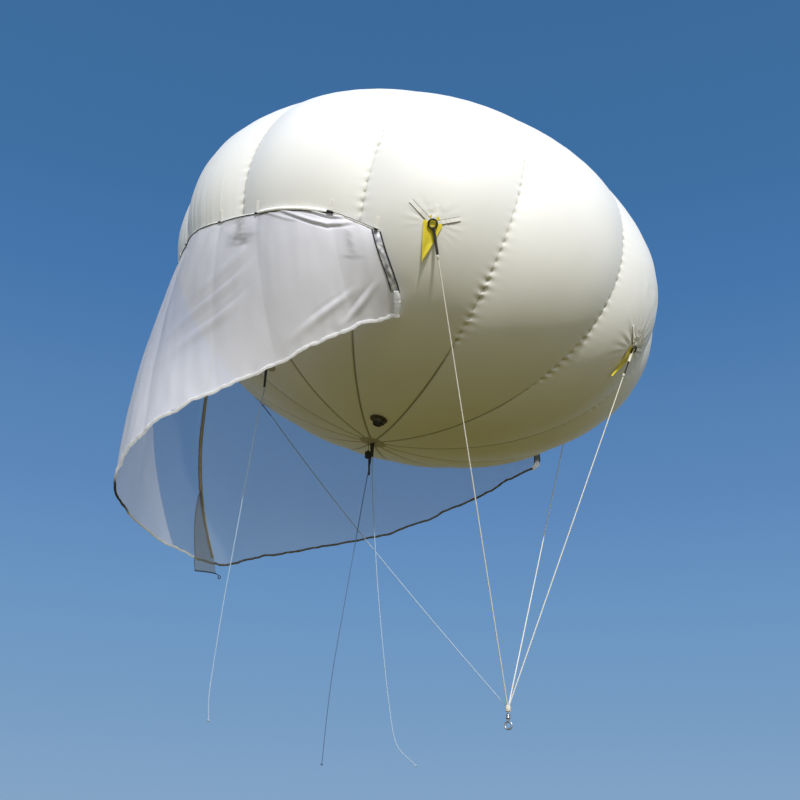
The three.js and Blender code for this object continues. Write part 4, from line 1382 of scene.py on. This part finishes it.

# Edges of the skirt. The head's sleeve is clean, creased white cloth. The hem is soiled in runs
# and lets the sun through. The foot of each side is a puffed white sleeve, the far hem is grey
# with painted shade, and between the side's two cords lies a crumpled sheet coloured with
# painted shade and sheen.
clean_edging, tree, shader = finish("clean edging", "#FAF9F7", 0.55)
crease = grained(tree, 60, 4)
tree.links.new(bumped(tree, crease, 0.6, 0.002), shader.inputs["Normal"])
creased = shades(tree, crease, {0.3: "#EDECE8", 0.6: "#FBFAF8"})
tree.links.new(creased, shader.inputs["Base Color"])
SOILED_RUNS = {
    0.14: "#8A8474",
    0.18: "#FBFAF5",
    0.36: "#E9E5DA",
    0.41: "#6F6958",
    0.52: "#77715F",
    0.56: "#FBFAF8",
}
hem_edging, tree, shader = finish("hem edging", "#F1EFEA", 0.6)
uv = add(tree, "ShaderNodeUVMap").outputs["UV"]
along = add(tree, "ShaderNodeSeparateXYZ", {"Vector": uv}).outputs["X"]
stain = grained(tree, 9, 3)
shifted = worked(tree, "MULTIPLY_ADD", stain, 0.3, along)
soil = shades(tree, worked(tree, "MULTIPLY", shifted, 0.5), SOILED_RUNS)
tree.links.new(soil, shader.inputs["Base Color"])
tree.links.new(bumped(tree, stain, 0.4, 0.003), shader.inputs["Normal"])
shone_through(tree, shader, soil, 0.7)
puffed, tree, shader = finish("puffed white sleeve", "#FCFCFB", 0.5)
shone_through(tree, shader, linear("#FCFCFB"), 0.5)
# Painted shade: edging coloured a mottled dark grey, as white cloth looks in shade.
shade_grey, tree, shader = finish("weathered edging", "#7D786A", 0.7)
worn = shades(tree, grained(tree, 90, 4), {0.35: "#575246", 0.7: "#857F70"})
tree.links.new(worn, shader.inputs["Base Color"])
# Painted shade and sheen: an opaque blue-grey sheet, lighter on the crumples' raised parts.
shade_sheet, tree, shader = finish("crumpled film", "#A9ABB8", 0.4)
crumple = grained(tree, 30, 2)
tree.links.new(bumped(tree, crumple, 0.5, 0.004), shader.inputs["Normal"])
crumpled = shades(tree, crumple, {0.36: "#9092A1", 0.50: "#ADAFBC", 0.64: "#DEDFE6"})
tree.links.new(crumpled, shader.inputs["Base Color"])

SKIRT_COLUMNS = 380
SKIRT_ROWS = 130
HEAD_BAND = 0.010
SLEEVE_RADIUS = 0.0065
SIDE_SLEEVE = 1.9
TOGGLES = {81: (0.016, 0.0050), 99: (0.040, 0.0072), 109: (0.020, 0.0060)}
SMALL_TOGGLE = (0.014, 0.0042)
SLANT_FOOT = 11.2
SLANT_LEAN = 19.5
TOGGLE_PROFILE = ((0, -0.5), (0.7, -0.43), (1, -0.3), (1, 0.3), (0.7, 0.43), (0, 0.5))


def painted_shade_at(around, down):
    """How much painted shade darkens the right half: against seams, in its middle and by the keel."""
    streak = 0.85 + 0.9 * noise.noise(Vector((around * 0.35, down * 40, 2)))
    high = ease(around, 69.5, 71.5) * (1 - ease(around, 75.5, 78)) * (1 - ease(down, 0.02, 0.08))
    core = math.exp(-(((around - 75.9) / 1.4) ** 2)) * (1 - ease(down, 0.17, 0.21))
    wide = math.exp(-(((around - 76.7) / 3.4) ** 2) - ((down - 0.15) / 0.042) ** 2)
    other = math.exp(-(((around - 102.4) / 0.9) ** 2))
    other *= ease(down, 0.08, 0.1) * (1 - ease(down, 0.2, 0.23))
    level = 0.238 - 0.0083 * (around - 102.2)
    spot_dark = math.exp(-(((around - 102.2) / 2.2) ** 2) - ((down - level) / 0.010) ** 2)
    tone = 0.30 * math.exp(-(((around - 66) / 14) ** 2) - ((down - 0.5) / 0.35) ** 2)
    dark = 0.5 * high + 0.7 * core + 0.85 * wide + 0.36 * other + 0.75 * spot_dark
    shaded = 0.5 * ease(around, -1, 6) * (1 - past_slant_at(around, down))
    return min(0.95, max(0, dark * streak)) * 0.7 + tone + shaded


def past_slant_at(around, down):
    """How far a place of the right half lies beyond a slanting line beside the keel."""
    share = down / skirt_drop(around)
    beyond = around - SLANT_FOOT - SLANT_LEAN * (1 - share)
    blur = 0.15 + 9 * ease(share, 0.6, 0.4)
    return ease(beyond, -blur, blur)


def closed_at(around, down):
    """How far the right half's weave is closed: open at the keel, tighter past the slanting line."""
    low = ease(down, 0.5, 1.0) * (1 - ease(around, 60, 84)) * ease(around, 30, 48)
    front = 1 - 0.35 * past_slant_at(around, down) - 0.21 * ease(around, 33, 46)
    return 1 - front * (1 - 0.85 * ease(around, 82, 100)) * (1 - 0.65 * low)


def skirt_line(line, share, depth=0.0):
    """A point on the folded cloth, on a line of the skirt that bows, at a share of its drop."""
    around = bowed(line, share)
    return skirt_cloth_point(around, share * skirt_drop(around), depth)


def run_of(line, first, last, steps, depth=0.0):
    """Points down a line of the skirt between two shares of its drop."""
    return [skirt_line(line, first + (last - first) * k / steps, depth) for k in range(steps + 1)]


for side, sign in {"right": 1, "left": -1}.items():

    def cloth_place(u, v):
        """The degrees round and the metres down of a place of this half's cloth."""
        around = bowed(sign * (0.2 + (SKIRT_REACH - 1.9) * u), v)
        return around, 0.008 + (skirt_drop(around) - 0.004) * v

    def where(u, v):
        return skirt_point(*cloth_place(u, v))

    def relief(u, v):
        return -sign * skirt_relief(*cloth_place(u, v), v)

    bm, cloth_uv, shares = sheet(SKIRT_COLUMNS, SKIRT_ROWS, where, relief)
    if side == "right":
        painted_shade = bm.verts.layers.float["painted_shade"]
        shut = bm.verts.layers.float["shut"]
        for vert, (u, v) in shares.items():
            around, down = cloth_place(u, v)
            # The right half's painted shade, and how shut its weave is.
            vert[painted_shade] = painted_shade_at(around, down)
            vert[shut] = closed_at(around, down)
    for face in bm.faces:
        for loop in face.loops:
            u, v = shares[loop.vert]
            around = sign * (0.2 + (SKIRT_REACH - 1.9) * u)
            loop[cloth_uv].uv = (around * ARC, v * skirt_drop(around))
    cloth = new_piece(f"skirt_{side}_cloth", bm)
    dress(cloth, "balloon", "skirt_cloth", skirt_nylon, f"skirt_{side}")

    steps = 360
    line = []
    sizes = []
    for k in range(steps + 1):
        around = sign * SKIRT_REACH * k / steps
        x = around * ARC
        loose = 0.4 + 0.6 * ease(around, -20, 20)
        gather = 0.016 * noise.noise(Vector((x * 7, sign * 3, 1)))
        gather += 0.007 * loose * noise.noise(Vector((x * 21, sign * 5, 6)))
        down = skirt_drop(around) + 0.007 + gather
        stray = 0.003 * noise.noise(Vector((x * 30, 7, sign)))
        line.append(skirt_cloth_point(around, down, stray))
        full = ease(around, 30, 50) * 0.3 + 0.7
        sizes.append(full * (1 + 0.4 * noise.noise(Vector((x * 36, 2, sign * 5)))))
    hem = cordage(f"skirt_hem_{side}_roll", line, 0.0095, sizes=sizes)
    # The far half's hem takes the grey with painted shade.
    hem_cloth = hem_edging if side == "right" else shade_grey
    dress(hem, "balloon", "edging", hem_cloth, f"skirt_hem_{side}")

    line = []
    sizes = []
    drawn = []
    for k in range(steps + 1):
        around = sign * SKIRT_REACH * k / steps
        x = around * ARC
        full = ease(abs(around), 80.5, 82.5) * (1 - ease(abs(around), 97, 99))
        pinch = sum(math.exp(-(((abs(around) - tie) / 0.6) ** 2)) for tie in TIES)
        size = (0.70 + 1.0 * full) * (1 - 0.35 * pinch)
        size *= 1 + 0.15 * noise.noise(Vector((x * 40, 9, sign)))
        line.append(skirt_point(around, HEAD_BAND))
        sizes.append(size)
        over = 1 - 2 * ease(abs(around), 98.5, 99.5)
        beside = SLEEVE_RADIUS * size + 0.001 + 0.0025 * noise.noise(Vector((x * 22, 4, sign)))
        down = max(0.002, HEAD_BAND + over * beside)
        drawn.append(skirt_point(around, down) + skirt_normal(around, 0.02) * 0.003)
    sleeve = cordage(f"skirt_head_{side}_sleeve", line, SLEEVE_RADIUS, sizes=sizes)
    dress(sleeve, "balloon", "edging", clean_edging, f"skirt_head_{side}")
    draw_cord = cordage(f"skirt_head_{side}_draw_cord", drawn, 0.0024)
    dress(draw_cord, "balloon", "dark_webbing", black_cord)

    bm = bmesh.new()
    for tie in TIES:
        length, radius = TOGGLES.get(tie, SMALL_TOGGLE)
        around = sign * tie
        down = HEAD_BAND + 0.004
        along = (skirt_point(around + 0.4, down) - skirt_point(around - 0.4, down)).normalized()
        centre = skirt_point(around, down) + skirt_normal(around, 0.02) * (radius + 0.005)
        knob = lathe([(r * radius, level * length) for r, level in TOGGLE_PROFILE], 20)
        turn = along.to_track_quat("Z", "Y").to_matrix().to_4x4()
        bmesh.ops.transform(knob, matrix=Matrix.Translation(centre) @ turn, verts=knob.verts)
        take_in(bm, knob)
    dress(new_piece(f"skirt_head_{side}_toggles", bm), "balloon", "black_plastic", black)

    for tie in TIES:
        place = spot(180 + sign * tie, corner_latitude(tie))
        line = [laid(place, 0, -0.008 + 0.060 * k / 12, 0.0016) for k in range(13)]
        band(
            f"tie_{side}_{tie}",
            line,
            lambda k: place[1],
            lambda k: 0.022 - 0.006 * (k / 12) ** 4,
            0.0012,
            "balloon",
            "edging",
            plain_webbing,
        )

    inner = SKIRT_REACH - SIDE_SLEEVE
    outer_line = run_of(sign * SKIRT_REACH, 0.02, 0.78, 60, 0.002)
    dark_edge = cordage(f"skirt_edge_{side}_cord", outer_line, 0.0035)
    dress(dark_edge, "balloon", "dark_webbing", black_cord, f"skirt_edge_{side}")
    inner_line = run_of(sign * inner, 0.05, 0.77, 60, 0.002)
    inner_edge = cordage(f"skirt_edge_{side}_inner", inner_line, 0.0030)
    dress(inner_edge, "balloon", "dark_webbing", black_cord)
    line = run_of(sign * (SKIRT_REACH - 0.6), 0.765, 1.0, 24, 0.006)
    sizes = [0.8 + 0.45 * math.sin(math.pi * min(1, 0.2 + 0.9 * k / 24)) for k in range(25)]
    sizes = [s * (1 + 0.3 * noise.noise(Vector((k * 0.4, 1, 2)))) for k, s in enumerate(sizes)]
    white_edge = cordage(f"skirt_edge_{side}_foot", line, 0.0125, detail=4, sizes=sizes)
    dress(white_edge, "balloon", "edging", puffed)

    def sleeve_place(u, v):
        """The degrees round, the metres down and the share down of a place of the sheet."""
        share = 0.03 + 0.76 * v
        around = bowed(sign * (inner - 0.2 + (SKIRT_REACH - inner + 0.2) * u), share)
        return around, skirt_drop(around) * share, share

    def sleeve_where(u, v):
        around, down, _ = sleeve_place(u, v)
        return skirt_point(around, down)

    def sleeve_relief(u, v):
        around, down, share = sleeve_place(u, v)
        puff = 0.004 * math.sin(math.pi * u)
        ripple = 0.004 * noise.noise(Vector((u * 2, down * 22, sign))) * math.sin(math.pi * u)
        return -sign * (skirt_relief(around, down, share) + puff + ripple)

    bm, cloth_uv, shares = sheet(16, 120, sleeve_where, sleeve_relief)
    side_sleeve = new_piece(f"skirt_edge_{side}_sleeve", bm)
    # The sheet between the side's cords carries the painted shade and sheen.
    dress(side_sleeve, "balloon", "skirt_cloth", shade_sheet)

# Keel: a tape over the join of the skirt's halves, gathered as it was sewn and coloured
# brown-grey with painted shade, and a narrow pocket of doubled cloth beside its foot, with a
# dark bound edge and a small loop.
POCKET_LENGTH = 0.478
POCKET_DROP = 0.056
POCKET_WIDTH = 6.4
# Painted shade: the tape is brown-grey with darker edges, as its white cloth looks from inside.
keel_tape = webbing("weathered seam tape", "#A59D89", 0.005, edge=(0.0105, "#6E6653"))
stations = [0.02 + 0.965 * k / 120 for k in range(121)]
ways = []
for share in stations:
    around = bowed(0, share)
    down = share * skirt_drop(around)
    ways.append((skirt_point(around + 0.4, down) - skirt_point(around - 0.4, down)).normalized())
keel_line = []
keel_widths = []
for k, share in enumerate(stations):
    stray = 0.004 * noise.noise(Vector((share * 70, 2, 2)))
    keel_line.append(skirt_line(0, share, stray - 0.004))
    gather = 0.010 * noise.noise(Vector((k * 0.5, 3, 3)))
    keel_widths.append(0.029 - 0.008 * ease(share, 0.65, 0.9) + gather)
band(
    "keel_band_tape",
    keel_line,
    lambda k: ways[k],
    lambda k: keel_widths[k],
    0.003,
    "balloon",
    "edging",
    keel_tape,
    "keel_band",
)


def pocket_where(u, v):
    """A point of the pocket, inside the skirt and then below its hem."""
    reach = v * (POCKET_LENGTH + POCKET_DROP)
    width = max(0.04, min(1, reach / POCKET_LENGTH) ** 0.7)
    down = skirt_drop(0) + 0.018 + reach - POCKET_LENGTH
    line = (u * POCKET_WIDTH - 0.2) * width
    around = bowed(line, down / skirt_drop(line))
    puff = 0.003 * math.sin(math.pi * u) * width
    inwards = skirt_normal(around, min(down, skirt_drop(0) - 0.01))
    return skirt_point(around, down) - inwards * (0.0085 + puff)


bm, cloth_uv, shares = sheet(24, 90, pocket_where)
for face in bm.faces:
    for loop in face.loops:
        u, v = shares[loop.vert]
        loop[cloth_uv].uv = (u * 0.13, v * (POCKET_LENGTH + POCKET_DROP))
pocket = new_piece("keel_pocket_cloth", bm)
dress(pocket, "balloon", "skirt_cloth", pocket_nylon, "keel_pocket")
bound = cordage("keel_pocket_side", [pocket_where(1, k / 60) for k in range(61)], 0.0022)
dress(bound, "balloon", "edging", shade_grey)
foot = cordage("keel_pocket_foot", [pocket_where(k / 20, 1) for k in range(21)], 0.0036)
dress(foot, "balloon", "dark_webbing", black_cord)
low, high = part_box("keel_loop")
middle = (low + high) / 2
corner = pocket_where(0, 1)
line = [corner, corner.lerp(Vector((middle.x, middle.y, high.z)), 0.5)]
for k in range(33):
    turn = 2 * math.pi * k / 32
    line.append(middle + Vector((0.009 * math.sin(turn), 0, 0.009 * math.cos(turn))))
loop_cord = cordage("keel_loop_cord", line, 0.0024)
dress(loop_cord, "balloon", "dark_webbing", black_cord, "keel_loop")
